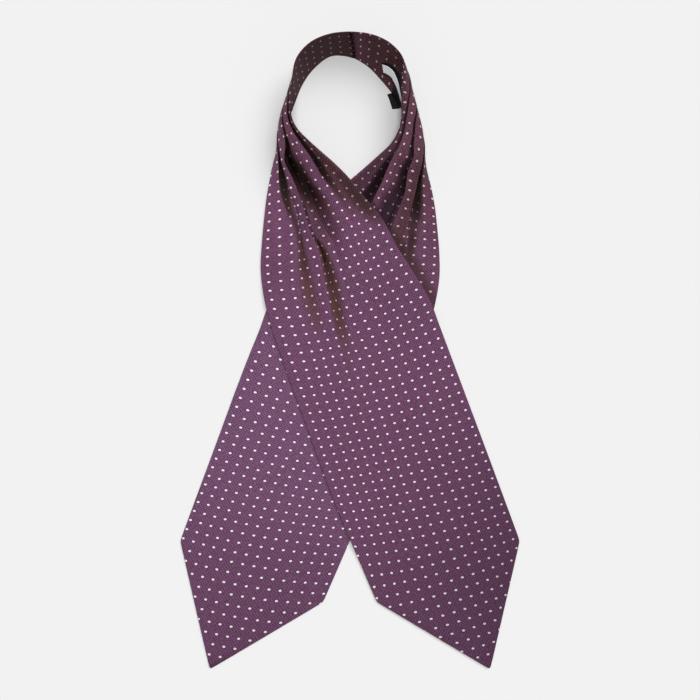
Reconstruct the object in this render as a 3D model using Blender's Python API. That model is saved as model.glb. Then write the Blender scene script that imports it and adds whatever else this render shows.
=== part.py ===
"""Silk cravat, laid out flat with its blades crossed.

The cravat is one long band of silk in two halves, sewn together at the centre back.
Each half is a face panel and a back panel of the same cut, pleated three times and
tacked into a narrow neckband, which opens like a fan into a broad pointed blade.
The neckband stands on its outer edge in a loop behind the crossing. The upper half
goes round the left of the loop and lies over the lower half, which goes round the right.

Every half is worked out as if it went round the left: sections run from the neck edge,
which rims the loop, to the outer edge, which lies on the table. The lower half is
then mirrored. Lengths are in millimetres until the meshes are made.
"""

import bmesh
import bpy
import numpy as np

MM = 0.001

# Driving dimensions of the cut and of the cloth
CORNER_ALONG = 604.0        # centre back to the blade's two corners, along the cloth
TIP_LENGTH = 105.0          # corners to the point
TIP_ACROSS = 0.5            # where the point lies across the blade, from the neck edge
TIP_BLUNT = 0.015           # width of the point, as a share of the blade's width
TACK_ALONG = 118.0          # centre back to the tacks that end the stitched neckband
PANEL_THICKNESS = 1.0       # each of the two layers of silk
SEAM_GAP = 0.3              # between pieces that are sewn together or lie on each other
PLEAT_STEP = 1.2            # how far each pleat's fold stands proud of the strip beside it
PLEAT_FADE = 25.0           # past the tacks, over which those steps give way to open folds
LIFT_CLEARANCE = 0.5        # between the lower half and the upper half that crosses it
LIFT_REACH = 15.0           # the upper half stays lifted this far past the lower one
LIFT_SLOPE = 0.25           # and then comes down to the table at this slope

# Where the sections are taken, as lengths along the cloth from the centre back
BAND_SECTIONS = np.linspace(0.0, TACK_ALONG, 9)
FAN_SECTIONS = np.array([130.0, 142, 155, 170, 185, 200, 215, 232, 250, 270, 290, 312, 335])
BLADE_SECTIONS = np.linspace(360.0, CORNER_ALONG, 11)
TIP_SECTIONS = CORNER_ALONG + TIP_LENGTH * np.array([0.2, 0.4, 0.6, 0.78, 0.92, 1.0])
SECTIONS = np.concatenate([BAND_SECTIONS, FAN_SECTIONS, BLADE_SECTIONS, TIP_SECTIONS])

# Sections: length along the cloth, neck edge (x, y, z), outer edge (x, y) on the table,
# and how far the section bows outwards at its middle
SECTION_COLUMNS = ("along", "neck_x", "neck_y", "neck_z", "outer_x", "outer_y", "bow")
UPPER_SECTIONS = (
    (0, 0.0, 303.8, 41.0, 0.0, 292.5, 0.5),
    (20, -18.8, 301.4, 41.0, -19.1, 292.0, 0.0),
    (40, -36.1, 293.9, 41.0, -36.0, 281.2, 0.0),
    (60, -49.4, 280.9, 39.9, -47.4, 265.6, 0.0),
    (80, -54.7, 263.0, 38.9, -54.7, 247.5, 1.5),
    (100, -55.8, 243.8, 37.4, -61.2, 229.0, 4.5),
    (118, -56.2, 226.0, 36.4, -67.0, 212.0, 5.5),
    (130, -52.0, 214.9, 35.9, -70.7, 200.6, 5.0),
    (145, -42.3, 203.5, 33.5, -74.8, 186.4, 4.5),
    (160, -31.6, 193.4, 29.3, -77.6, 172.0, 4.0),
    (180, -16.6, 181.8, 22.8, -81.4, 152.1, 3.0),
    (200, -2.0, 169.4, 16.8, -84.0, 132.1, 2.0),
    (225, 14.5, 151.2, 12.0, -86.7, 107.3, 1.0),
    (250, 30.6, 132.3, 8.0, -88.4, 82.4, 0.0),
    (280, 44.9, 106.0, 5.0, -85.9, 52.6, 0.0),
    (310, 61.0, 80.6, 3.0, -78.7, 23.7, 0.0),
    (350, 81.0, 46.8, 1.0, -66.0, -14.0, 0.0),
    (372, 88.3, 27.5, 0.5, -58.7, -34.6, 0.0),
    (400, 98.6, 0.1, 0.0, -49.0, -60.8, 0.0),
    (500, 133.8, -93.8, 0.0, -14.5, -154.3, 0.0),
    (604, 169.7, -190.6, 0.0, 26.6, -251.9, 0.0),
)
LOWER_SECTIONS = (
    (0, 0.0, 303.8, 41.0, 0.0, 292.5, 0.5),
    (20, -18.8, 301.4, 40.5, -17.0, 283.4, 1.0),
    (40, -36.1, 294.1, 39.5, -31.2, 268.5, 3.5),
    (60, -49.1, 281.0, 36.5, -43.6, 253.2, 6.0),
    (80, -50.1, 262.3, 33.5, -53.0, 235.9, 8.5),
    (100, -49.7, 242.8, 31.0, -61.2, 218.0, 9.5),
    (118, -49.4, 224.9, 30.0, -68.0, 201.4, 10.0),
    (130, -47.5, 213.2, 29.0, -72.2, 190.3, 9.0),
    (145, -40.7, 200.4, 26.0, -75.8, 175.9, 7.5),
    (160, -29.6, 189.9, 21.0, -78.9, 162.5, 4.5),
    (180, -14.5, 178.1, 14.0, -82.5, 142.9, 3.0),
    (200, 1.0, 166.4, 9.0, -85.0, 122.9, 1.0),
    (225, 17.8, 147.8, 5.0, -87.4, 98.2, 0.0),
    (250, 33.0, 128.1, 2.5, -88.0, 73.5, 0.0),
    (280, 47.9, 101.9, 1.0, -84.6, 44.0, 0.0),
    (310, 64.0, 76.3, 0.3, -76.1, 15.5, 0.0),
    (350, 82.7, 41.9, 0.0, -63.3, -21.9, 0.0),
    (372, 90.0, 21.4, 0.0, -56.1, -42.3, 0.0),
    (400, 100.8, -5.3, 0.0, -46.2, -68.4, 0.0),
    (500, 136.1, -99.8, 0.0, -11.9, -161.3, 0.0),
    (604, 169.7, -190.6, 0.0, 26.6, -251.9, 0.0),
)

# Pleats A, B and C, counted from the neck edge: where the valley and the ridge of each
# lie across the section, as shares of its width, and how high the ridge stands
FOLD_COLUMNS = ("along", "valley_a", "ridge_a", "high_a",
                "valley_b", "ridge_b", "high_b", "valley_c", "ridge_c", "high_c")
UPPER_FOLDS = (
    (0, 0.24, 0.25, 0.0, 0.49, 0.50, 0.0, 0.74, 0.75, 0.0),
    (118, 0.23, 0.25, 0.0, 0.48, 0.50, 0.0, 0.73, 0.75, 0.0),
    (130, 0.18, 0.22, 1.5, 0.45, 0.51, 2.0, 0.70, 0.75, 1.5),
    (145, 0.12, 0.18, 3.0, 0.44, 0.56, 4.5, 0.70, 0.76, 3.0),
    (165, 0.08, 0.17, 5.0, 0.48, 0.64, 8.0, 0.74, 0.81, 4.0),
    (185, 0.09, 0.20, 5.5, 0.49, 0.63, 9.5, 0.74, 0.83, 3.5),
    (205, 0.10, 0.23, 4.5, 0.50, 0.61, 9.5, 0.71, 0.84, 2.5),
    (230, 0.12, 0.27, 3.0, 0.51, 0.61, 8.5, 0.68, 0.85, 1.5),
    (255, 0.14, 0.30, 1.5, 0.52, 0.605, 7.5, 0.67, 0.86, 1.0),
    (280, 0.16, 0.31, 0.7, 0.53, 0.61, 6.0, 0.68, 0.86, 0.5),
    (310, 0.20, 0.33, 0.2, 0.55, 0.635, 4.0, 0.71, 0.87, 0.2),
    (350, 0.24, 0.36, 0.0, 0.59, 0.65, 1.5, 0.75, 0.87, 0.0),
    (390, 0.25, 0.38, 0.0, 0.60, 0.66, 0.0, 0.76, 0.88, 0.0),
)
LOWER_FOLDS = (
    (0, 0.24, 0.25, 0.0, 0.49, 0.50, 0.0, 0.74, 0.75, 0.0),
    (118, 0.23, 0.25, 0.0, 0.48, 0.50, 0.0, 0.73, 0.75, 0.0),
    (130, 0.16, 0.20, 1.5, 0.44, 0.50, 2.0, 0.70, 0.75, 1.5),
    (145, 0.10, 0.16, 3.0, 0.42, 0.52, 4.0, 0.70, 0.77, 3.0),
    (165, 0.09, 0.19, 4.5, 0.42, 0.54, 6.5, 0.70, 0.79, 4.5),
    (185, 0.17, 0.26, 4.0, 0.46, 0.57, 7.0, 0.68, 0.78, 5.0),
    (205, 0.24, 0.33, 2.5, 0.49, 0.60, 6.0, 0.68, 0.78, 4.5),
    (230, 0.28, 0.38, 1.0, 0.52, 0.62, 4.0, 0.70, 0.80, 3.0),
    (255, 0.30, 0.40, 0.3, 0.54, 0.63, 2.0, 0.71, 0.81, 1.5),
    (285, 0.30, 0.40, 0.0, 0.55, 0.64, 0.5, 0.72, 0.82, 0.4),
    (320, 0.30, 0.40, 0.0, 0.55, 0.64, 0.0, 0.72, 0.82, 0.0),
)

# Labels inside the lower half's neckband: lengths along the cloth, shares across it
WOVEN_LABEL_ALONG = (53.0, 72.0)
WOVEN_LABEL_TOP = 0.16
WOVEN_LABEL_FOOT = 0.93
WOVEN_LABEL_TONGUE = 6.5    # how far its end runs past the outer edge, on the table
CARE_LABEL_ALONG = (33.0, 68.0)
CARE_LABEL_TOP = (0.52, 0.22)
CARE_LABEL_WIDTH = 0.28
LABEL_THICKNESS = 0.6
TONGUE_BEND = 1.5           # from the outer edge to where the woven label reaches the table
TONGUE_FLOOR = 0.1          # how far the woven label's end clears the table
FOOT_SHARES = (0.97, 1.0)   # across the neckband, where its slope at the table is read

# Colours as linear RGB, with roughness
SILK_FACE = ((0.145, 0.071, 0.125), 0.45)
SILK_BACK = ((0.055, 0.026, 0.038), 0.55)
BLACK_RIBBON = ((0.008, 0.008, 0.009), 0.7)
WHITE_RIBBON = ((0.62, 0.65, 0.72), 0.6)


def table(rows, columns):
    """Turn rows of numbers into a dictionary of named columns."""
    return dict(zip(columns, np.array(rows, float).T))


def curve_through(at, xs, ys):
    """Cubic Hermite curve through the points (xs, ys), read at the values in at."""
    slopes = np.gradient(ys, xs)
    i = np.clip(np.searchsorted(xs, at, side="right") - 1, 0, len(xs) - 2)
    step = xs[i + 1] - xs[i]
    u = np.clip((at - xs[i]) / step, 0.0, 1.0)
    start = (1 + 2 * u) * (1 - u) ** 2 * ys[i] + u * (1 - u) ** 2 * step * slopes[i]
    end = u ** 2 * (3 - 2 * u) * ys[i + 1] + u ** 2 * (u - 1) * step * slopes[i + 1]
    return start + end


def unit(vectors):
    """Scale vectors, held in the last axis, to length 1."""
    return vectors / np.linalg.norm(vectors, axis=-1, keepdims=True)


def edges(sections, along):
    """Neck edge, outer edge and bow at each length along the cloth.

    The other half's second row comes first, mirrored, so that the edges run smoothly
    across the seam at the centre back.
    """
    rows = table(sections, SECTION_COLUMNS)
    other = table(LOWER_SECTIONS if sections is UPPER_SECTIONS else UPPER_SECTIONS, SECTION_COLUMNS)
    mirrored = {"along": -1, "neck_x": -1, "outer_x": -1}
    ends = {name: np.insert(column, 0, other[name][1] * mirrored.get(name, 1))
            for name, column in rows.items()}
    read = {name: curve_through(along, ends["along"], ends[name]) for name in SECTION_COLUMNS[1:]}
    neck = np.stack([read["neck_x"], read["neck_y"], np.maximum(read["neck_z"], 0.0)], axis=-1)
    outer = np.stack([read["outer_x"], read["outer_y"], np.zeros_like(along)], axis=-1)
    return neck, outer, np.maximum(read["bow"], 0.0)


def shares(folds, along):
    """Shares across each section, the folds' heights there and the stitched pleats' steps.

    The columns run from the neck edge through the valley and ridge of each pleat to the
    outer edge, with one or two more between them.
    """
    rows = table(folds, FOLD_COLUMNS)
    reach = np.clip(along, rows["along"][0], rows["along"][-1])
    read = {name: np.interp(reach, rows["along"], rows[name]) for name in FOLD_COLUMNS[1:]}
    zero, one = np.zeros_like(along), np.ones_like(along)
    knots = [zero, read["valley_a"], read["ridge_a"], read["valley_b"], read["ridge_b"],
             read["valley_c"], read["ridge_c"], one]
    heights = [zero, zero, read["high_a"], zero, read["high_b"], zero, read["high_c"], zero]
    steps = [0.5 * one, zero, one, zero, one, zero, one, zero]
    extra = (1, 0, 2, 0, 1, 0, 2)
    across, high, step = [], [], []
    for k, more in enumerate(extra):
        for part in np.arange(more + 1) / (more + 1):
            across.append(knots[k] + part * (knots[k + 1] - knots[k]))
            high.append(heights[k] + part * (heights[k + 1] - heights[k]))
            step.append(steps[k] + part * (steps[k + 1] - steps[k]))
    across.append(one)
    high.append(zero)
    step.append(zero)
    return np.stack(across, 1), np.stack(high, 1), np.stack(step, 1)


def narrow_to_tip(across, along):
    """Draw the sections past the corners in towards the point."""
    left = np.clip((along - CORNER_ALONG) / TIP_LENGTH, 0.0, 1.0)[:, None]
    low = TIP_ACROSS * left * (1 - TIP_BLUNT)
    high = 1 - (1 - TIP_ACROSS) * left * (1 - TIP_BLUNT)
    return low + (high - low) * across


def half_surface(sections, folds, along, support=None):
    """Underside of a half as a grid of points, one row for each section.

    point = neck + share * (outer - neck) + (bow * 4 * share * (1 - share) + fold) * normal,
    where the normal is square to the section and to the way the cloth runs. Past the
    corners the sections go on in the direction of the blade.
    """
    neck, outer, bow = edges(sections, np.minimum(along, CORNER_ALONG))
    across, high, step = shares(folds, along)
    across = narrow_to_tip(across, along)
    chord = outer - neck
    centre = (neck + outer) / 2
    run = np.gradient(centre[along <= CORNER_ALONG], along[along <= CORNER_ALONG], axis=0)
    run = np.concatenate([run, np.repeat(run[-1:], np.sum(along > CORNER_ALONG), axis=0)])
    run[along >= CORNER_ALONG] = np.cross((0, 0, 1), unit(chord[along >= CORNER_ALONG]))
    run[0, 1:] = 0.0
    normal = unit(np.cross(chord, run))
    past = np.maximum(along - CORNER_ALONG, 0.0)[:, None, None]
    points = neck[:, None] + across[..., None] * chord[:, None] + past * unit(run)[:, None]
    bulge = bow[:, None] * 4 * across * (1 - across)
    points = points + bulge[..., None] * normal[:, None]
    if support is not None:
        open_cloth = along > TACK_ALONG
        lifted = lift_over(points[open_cloth], support)
        points[open_cloth, :, 2] = np.maximum(points[open_cloth, :, 2], lifted)
    points = points + high[..., None] * normal[:, None]
    return points, step


def lift_over(points, support):
    """Height that clears the points of support, each with a flat top and sloping sides."""
    flat = points.reshape(-1, 3)
    gap = np.linalg.norm(flat[:, None, :2] - support[None, :, :2], axis=2)
    cones = support[None, :, 2] + LIFT_CLEARANCE - LIFT_SLOPE * np.maximum(gap - LIFT_REACH, 0.0)
    return np.maximum(cones.max(axis=1), 0.0).reshape(points.shape[:-1])


def normals_of(points):
    """Unit normals of a grid of points, square to the seam plane at the centre back."""
    normals = np.cross(np.gradient(points, axis=1), np.gradient(points, axis=0))
    normals[0, :, 0] = 0.0
    return unit(normals)


def closed_wall(name, inner, outer, collection, finish, mirror=False):
    """Make one closed solid between two grids of points of the same shape."""
    rows, columns = inner.shape[:2]
    points = np.concatenate([inner.reshape(-1, 3), outer.reshape(-1, 3)]) * MM
    if mirror:
        points = points * (-1, 1, 1)
    index = np.arange(rows * columns).reshape(rows, columns)
    near, far = index[:-1, :-1], index[1:, 1:]
    triangles = np.stack([near, index[1:, :-1], far, near, far, index[:-1, 1:]], -1).reshape(-1, 3)
    rim = np.concatenate([index[:-1, 0], index[-1, :-1], index[:0:-1, -1], index[0, :0:-1]])
    follow = np.roll(rim, -1)
    count = rows * columns
    walls = np.stack([rim, follow, follow + count, rim, follow + count, rim + count], -1).reshape(-1, 3)
    faces = np.concatenate([triangles[:, ::-1], triangles + count, walls])
    mesh = bpy.data.meshes.new(name)
    mesh.from_pydata(points.tolist(), [], faces.tolist())
    shell = bmesh.new()
    shell.from_mesh(mesh)
    if shell.calc_volume(signed=True) < 0:
        bmesh.ops.reverse_faces(shell, faces=shell.faces)
    shell.to_mesh(mesh)
    shell.free()
    mesh.materials.append(material(name, *finish))
    thing = bpy.data.objects.new(name, mesh)
    collection.objects.link(thing)


def material(name, colour, roughness):
    """A plain cloth finish."""
    finish = bpy.data.materials.new(name)
    finish.use_nodes = True
    shader = finish.node_tree.nodes["Principled BSDF"]
    shader.inputs["Base Color"].default_value = (*colour, 1.0)
    shader.inputs["Roughness"].default_value = roughness
    shader.inputs["Metallic"].default_value = 0.0
    return finish


def offsets(points, step, along):
    """Inner and outer faces of the back panel and of the face panel, from the underside."""
    normals = normals_of(points)
    proud = np.interp(along, (TACK_ALONG, TACK_ALONG + PLEAT_FADE), (PLEAT_STEP, 0.0))
    pleated = proud[:, None] * step
    back_outer = points + PANEL_THICKNESS * normals
    face_inner = points + (PANEL_THICKNESS + SEAM_GAP) * normals
    face_outer = points + (2 * PANEL_THICKNESS + SEAM_GAP + pleated)[..., None] * normals
    for layer in (back_outer, face_inner, face_outer):
        layer[..., 2] = np.maximum(layer[..., 2], 0.0)
    return points, back_outer, face_inner, face_outer


def make_half(prefix, layers, collection, mirror):
    """The back panel and the face panel of one half."""
    inner, back_outer, face_inner, face_outer = layers
    closed_wall(prefix + "_back_panel", inner, back_outer, collection, SILK_BACK, mirror)
    closed_wall(prefix + "_face_panel", face_inner, face_outer, collection, SILK_FACE, mirror)


def on_neckband(panel, along, share):
    """Points of the lower half's inner face in the neckband, and the normals into the loop."""
    rows = np.stack([[np.interp(along, SECTIONS, panel[:, j, k]) for k in range(3)]
                     for j in range(panel.shape[1])])
    columns = shares(LOWER_FOLDS, SECTIONS[:1])[0][0]
    points = np.empty(share.shape + (3,))
    for i in range(len(along)):
        for k in range(3):
            points[i, :, k] = np.interp(share[i], columns, rows[:, k, i])
    return points, -unit(np.cross(np.gradient(points, axis=1), np.gradient(points, axis=0)))


def make_woven_label(panel, collection):
    """Black ribbon across the inside of the neckband, its end turned out on the table."""
    along = np.linspace(*WOVEN_LABEL_ALONG, 5)
    share = np.tile(np.linspace(WOVEN_LABEL_TOP, WOVEN_LABEL_FOOT, 7), (5, 1))
    points, into_loop = on_neckband(panel, along, share)
    inner = points + SEAM_GAP * into_loop
    outer = points + (SEAM_GAP + LABEL_THICKNESS) * into_loop
    foot, at_foot = on_neckband(panel, along, np.tile(FOOT_SHARES, (5, 1)))
    inwards = unit(at_foot[:, -1] * (1, 1, 0))
    lower, upper = [], []
    for reach in (TONGUE_BEND, WOVEN_LABEL_TONGUE):
        tongue = (foot[:, -1] + reach * inwards) * (1, 1, 0)
        lower.append(tongue + (0, 0, TONGUE_FLOOR))
        upper.append(tongue + (0, 0, TONGUE_FLOOR + LABEL_THICKNESS))
    inner = np.concatenate([inner, np.stack(lower, 1)], axis=1)
    outer = np.concatenate([outer, np.stack(upper, 1)], axis=1)
    closed_wall("woven_label", inner, outer, collection, BLACK_RIBBON, mirror=True)


def make_care_label(panel, collection):
    """White ribbon along the inside of the neckband, on top of the woven label."""
    along = np.linspace(*CARE_LABEL_ALONG, 8)
    share = np.linspace(*CARE_LABEL_TOP, 8)[:, None] + CARE_LABEL_WIDTH * np.linspace(0.0, 1.0, 5)
    points, into_loop = on_neckband(panel, along, share)
    under = 2 * SEAM_GAP + LABEL_THICKNESS
    inner = points + under * into_loop
    outer = points + (under + LABEL_THICKNESS) * into_loop
    closed_wall("care_label", inner, outer, collection, WHITE_RIBBON, mirror=True)


def stand_on_origin(things):
    """Move every mesh so that the middle of the whole cravat's base is the origin."""
    corners = np.array([vertex.co[:] for thing in things for vertex in thing.data.vertices])
    low, high = corners.min(axis=0), corners.max(axis=0)
    shift = -np.array([(low[0] + high[0]) / 2, (low[1] + high[1]) / 2, low[2]])
    for thing in things:
        for vertex in thing.data.vertices:
            vertex.co = np.array(vertex.co[:]) + shift


def main():
    """Build the two halves and the two labels."""
    for thing in list(bpy.data.objects):
        bpy.data.objects.remove(thing, do_unlink=True)
    collection = bpy.data.collections.new("silk_cravat")
    bpy.context.scene.collection.children.link(collection)

    lower, lower_step = half_surface(LOWER_SECTIONS, LOWER_FOLDS, SECTIONS)
    lower[0, :, 0] = -SEAM_GAP / 2
    lower_layers = offsets(lower, lower_step, SECTIONS)
    make_half("lower", lower_layers, collection, mirror=True)

    support = lower_layers[-1][SECTIONS > TACK_ALONG].reshape(-1, 3) * (-1, 1, 1)
    upper, upper_step = half_surface(UPPER_SECTIONS, UPPER_FOLDS, SECTIONS, support)
    upper[0, :, 0] = -SEAM_GAP / 2
    make_half("upper", offsets(upper, upper_step, SECTIONS), collection, mirror=False)

    make_woven_label(lower, collection)
    make_care_label(lower, collection)
    stand_on_origin(list(collection.objects))


main()
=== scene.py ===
"""Silk cravat with woven pin dots, laid out flat with its blades crossed.

The cravat is one long band of silk in two halves, sewn together at the centre back. Each
half is a face panel and a back panel of the same cut, pleated three times and tacked into
a narrow neckband, which opens like a fan into a broad pointed blade. The neckband stands
on its outer edge in a loop behind the crossing. The upper half goes round the left of the
loop and lies over the lower half, which goes round the right.

Every half is worked out as if it went round the left, from the neck edge, which rims the
loop, to the outer edge, which lies on the table. The lower half is then mirrored. Lengths
are in millimetres until the meshes are made.
"""

import math

import bpy
import numpy as np
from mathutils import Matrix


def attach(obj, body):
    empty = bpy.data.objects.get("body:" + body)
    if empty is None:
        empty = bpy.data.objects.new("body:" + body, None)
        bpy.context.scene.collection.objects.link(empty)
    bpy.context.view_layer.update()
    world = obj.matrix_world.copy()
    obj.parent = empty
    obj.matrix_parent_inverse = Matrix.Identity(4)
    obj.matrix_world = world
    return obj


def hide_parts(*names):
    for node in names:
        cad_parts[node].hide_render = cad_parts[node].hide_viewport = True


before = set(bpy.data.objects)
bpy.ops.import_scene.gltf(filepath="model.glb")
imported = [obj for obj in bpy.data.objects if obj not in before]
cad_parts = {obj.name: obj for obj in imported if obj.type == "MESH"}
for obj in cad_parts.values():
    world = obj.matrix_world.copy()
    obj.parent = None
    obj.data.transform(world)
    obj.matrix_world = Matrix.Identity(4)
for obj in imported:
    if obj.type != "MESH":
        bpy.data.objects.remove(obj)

bl_info = {
    "name": "Silk cravat",
    "version": (1, 0, 0),
    "blender": (4, 5, 0),
    "location": "3D Viewport > Sidebar > Cravat",
    "description": "Makes a pleated silk cravat, laid out flat with its blades crossed",
    "category": "Add Mesh",
}

MM = 0.001
TABLE_CENTRE_Y = 5.8        # the sections below are measured from this point of the frame

# The cut, in millimetres along and across the cloth
CORNER_ALONG = 604.0        # centre back to the blade's two corners
TIP_LENGTH = 105.0          # corners to the point
TIP_ROUND = 1.6             # how blunt the point is
CORNER_ROUND = 0.018        # how round the blade's corners are, as a share of its width
TACK_ALONG = 118.0          # centre back to the tacks that end the stitched neckband
CUT_WIDTH = 160.0
PLEATS_OPEN = (140.0, 165.0)    # from and to where the layers below take up the folds
BLADE_ALONG = 450.0         # past this length no pleat is left

# Sections: length along the cloth, neck edge (x, y, z), outer edge (x, y) on the table,
# and how far the section bows outwards at its middle
SECTION_COLUMNS = ("along", "neck_x", "neck_y", "neck_z", "outer_x", "outer_y", "bow")
UPPER_SECTIONS = (
    (0, 0, 306.2, 41, 0, 291, 0.5),
    (8, -7.9, 305.9, 41, -7.6, 293.4, 0.4),
    (20, -19.4, 304.2, 41, -19.4, 293.8, 0),
    (40, -37.9, 296.2, 41, -36, 281.8, 0),
    (60, -50.8, 281.8, 39.9, -47.4, 265.6, 0),
    (80, -54.7, 263, 38.9, -54.7, 247.5, 2.5),
    (100, -55.8, 243.8, 37.4, -61.2, 229, 6.5),
    (118, -56.2, 226, 36.4, -67, 212, 7),
    (130, -51.2, 215.4, 35.9, -71.4, 200.6, 6.5),
    (145, -40.9, 204.8, 33.5, -76.4, 186.4, 5.5),
    (160, -29.7, 195.2, 29.3, -79.5, 172, 4),
    (180, -15, 183.2, 22.8, -83.2, 152.1, 3),
    (200, -1.3, 170.2, 16.8, -85.6, 132.1, 2),
    (225, 14.5, 151.2, 12, -87.9, 107.3, 1),
    (250, 30.6, 132.3, 8, -89.2, 82.4, 0),
    (280, 44.9, 106, 5, -85.9, 52.6, 0),
    (310, 61, 80.6, 3, -78.7, 23.7, 0),
    (350, 81, 46.8, 1, -66, -14, 0),
    (372, 88.3, 27.5, 0.5, -58.7, -34.6, 0),
    (400, 98.6, 0.1, 0, -49, -60.8, 0),
    (500, 133.8, -93.8, 0, -14.5, -154.3, 0),
    (604, 169.7, -190.6, 0, 26.6, -251.9, 0),
)
LOWER_SECTIONS = (
    (0, 0, 306.2, 41, 0, 291, 0.5),
    (8, -7.9, 305.8, 40.9, -5.6, 288.7, 0.6),
    (20, -19.4, 304.2, 40.5, -15.4, 283.3, 1),
    (40, -37.8, 296.3, 39.5, -31, 268.5, 3.5),
    (60, -50.6, 282, 36.5, -43.6, 253.2, 7),
    (80, -50.1, 262.3, 33.5, -53, 235.9, 9.7),
    (100, -49.7, 242.8, 31, -61.2, 218, 11),
    (118, -49.4, 224.9, 30, -68, 201.4, 11.5),
    (130, -46.6, 213.8, 29, -73, 190.3, 10.5),
    (145, -39.4, 201.6, 26, -77.4, 175.9, 8.5),
    (160, -28, 191.4, 21, -81, 162.5, 4.5),
    (180, -13.2, 179.2, 14, -84.8, 142.9, 3),
    (200, 1.6, 166.9, 9, -87.1, 122.9, 1),
    (225, 17.8, 147.8, 5, -89.2, 98.2, 0),
    (250, 33, 128.1, 2.5, -89.4, 73.5, 0),
    (280, 47.9, 101.9, 1, -84.6, 44, 0),
    (310, 64, 76.3, 0.3, -76.1, 15.5, 0),
    (350, 82.7, 41.9, 0, -63.3, -21.9, 0),
    (372, 90, 21.4, 0, -56.1, -42.3, 0),
    (400, 100.8, -5.3, 0, -46.2, -68.4, 0),
    (500, 136.1, -99.8, 0, -11.9, -161.3, 0),
    (604, 169.7, -190.6, 0, 26.6, -251.9, 0),
)

# Where the folds of the face lie across each section, as shares of its width from the
# neck edge. A valley that lies beyond its ridge runs on under the pleat.
FOLD_LINES = ("neck", "valley_a", "ridge_a", "trough", "valley_b", "ridge_b", "edge_c",
              "valley_c", "ridge_c", "outer")
PLACE_COLUMNS = ("along",) + FOLD_LINES[1:-1]
UPPER_PLACES = (
    (0, 0.3, 0.25, 0.38, 0.55, 0.5, 0.7, 0.8, 0.75),
    (72, 0.3, 0.25, 0.38, 0.55, 0.5, 0.7, 0.8, 0.75),
    (100, 0.13, 0.09, 0.22, 0.4, 0.36, 0.69, 0.78, 0.74),
    (118, 0.085, 0.045, 0.16, 0.275, 0.24, 0.64, 0.73, 0.69),
    (130, 0.098, 0.06, 0.181, 0.311, 0.279, 0.626, 0.694, 0.66),
    (138, 0.109, 0.08, 0.218, 0.374, 0.345, 0.644, 0.682, 0.658),
    (144, 0.11, 0.098, 0.269, 0.451, 0.433, 0.66, 0.672, 0.675),
    (150, 0.115, 0.108, 0.337, 0.54, 0.526, 0.665, 0.68, 0.705),
    (156, 0.126, 0.122, 0.37, 0.562, 0.549, 0.664, 0.68, 0.73),
    (164, 0.14, 0.142, 0.39, 0.558, 0.54, 0.656, 0.668, 0.757),
    (172, 0.145, 0.168, 0.405, 0.552, 0.534, 0.651, 0.655, 0.764),
    (184, 0.135, 0.2, 0.424, 0.542, 0.532, 0.648, 0.64, 0.762),
    (194, 0.126, 0.206, 0.431, 0.545, 0.538, 0.636, 0.622, 0.745),
    (200, 0.124, 0.21, 0.438, 0.548, 0.54, 0.627, 0.608, 0.725),
    (208, 0.122, 0.21, 0.442, 0.55, 0.538, 0.621, 0.594, 0.701),
    (220, 0.12, 0.214, 0.446, 0.554, 0.54, 0.625, 0.598, 0.697),
    (235, 0.124, 0.228, 0.441, 0.55, 0.543, 0.637, 0.615, 0.704),
    (250, 0.129, 0.243, 0.427, 0.514, 0.527, 0.651, 0.651, 0.72),
    (262, 0.135, 0.259, 0.423, 0.491, 0.523, 0.658, 0.673, 0.724),
    (275, 0.14, 0.27, 0.43, 0.495, 0.531, 0.664, 0.679, 0.737),
    (300, 0.15, 0.285, 0.455, 0.515, 0.563, 0.675, 0.7, 0.77),
    (325, 0.16, 0.295, 0.5, 0.55, 0.597, 0.7, 0.73, 0.8),
    (350, 0.17, 0.3, 0.535, 0.58, 0.63, 0.725, 0.757, 0.84),
    (390, 0.18, 0.32, 0.56, 0.605, 0.66, 0.745, 0.77, 0.86),
)
LOWER_PLACES = (
    (0, 0.3, 0.25, 0.38, 0.55, 0.5, 0.7, 0.8, 0.75),
    (72, 0.3, 0.25, 0.38, 0.55, 0.5, 0.7, 0.8, 0.75),
    (100, 0.14, 0.11, 0.22, 0.4, 0.36, 0.69, 0.79, 0.74),
    (118, 0.085, 0.05, 0.16, 0.275, 0.235, 0.66, 0.75, 0.72),
    (128, 0.098, 0.064, 0.185, 0.295, 0.262, 0.657, 0.729, 0.71),
    (136, 0.11, 0.077, 0.219, 0.351, 0.325, 0.683, 0.716, 0.711),
    (143, 0.118, 0.1, 0.268, 0.427, 0.41, 0.703, 0.71, 0.727),
    (152, 0.138, 0.134, 0.306, 0.459, 0.447, 0.716, 0.711, 0.748),
    (160, 0.171, 0.173, 0.333, 0.487, 0.482, 0.715, 0.71, 0.766),
    (170, 0.207, 0.216, 0.367, 0.526, 0.526, 0.712, 0.707, 0.78),
    (180, 0.23, 0.251, 0.392, 0.544, 0.556, 0.705, 0.701, 0.79),
    (192, 0.244, 0.278, 0.408, 0.538, 0.562, 0.701, 0.698, 0.802),
    (205, 0.24, 0.298, 0.415, 0.522, 0.557, 0.697, 0.697, 0.804),
    (225, 0.241, 0.335, 0.423, 0.497, 0.541, 0.689, 0.694, 0.797),
    (250, 0.247, 0.366, 0.445, 0.505, 0.554, 0.693, 0.702, 0.792),
    (285, 0.24, 0.38, 0.48, 0.53, 0.58, 0.7, 0.72, 0.8),
    (320, 0.22, 0.36, 0.51, 0.56, 0.61, 0.71, 0.74, 0.82),
    (390, 0.18, 0.32, 0.55, 0.605, 0.66, 0.745, 0.77, 0.86),
)

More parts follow.
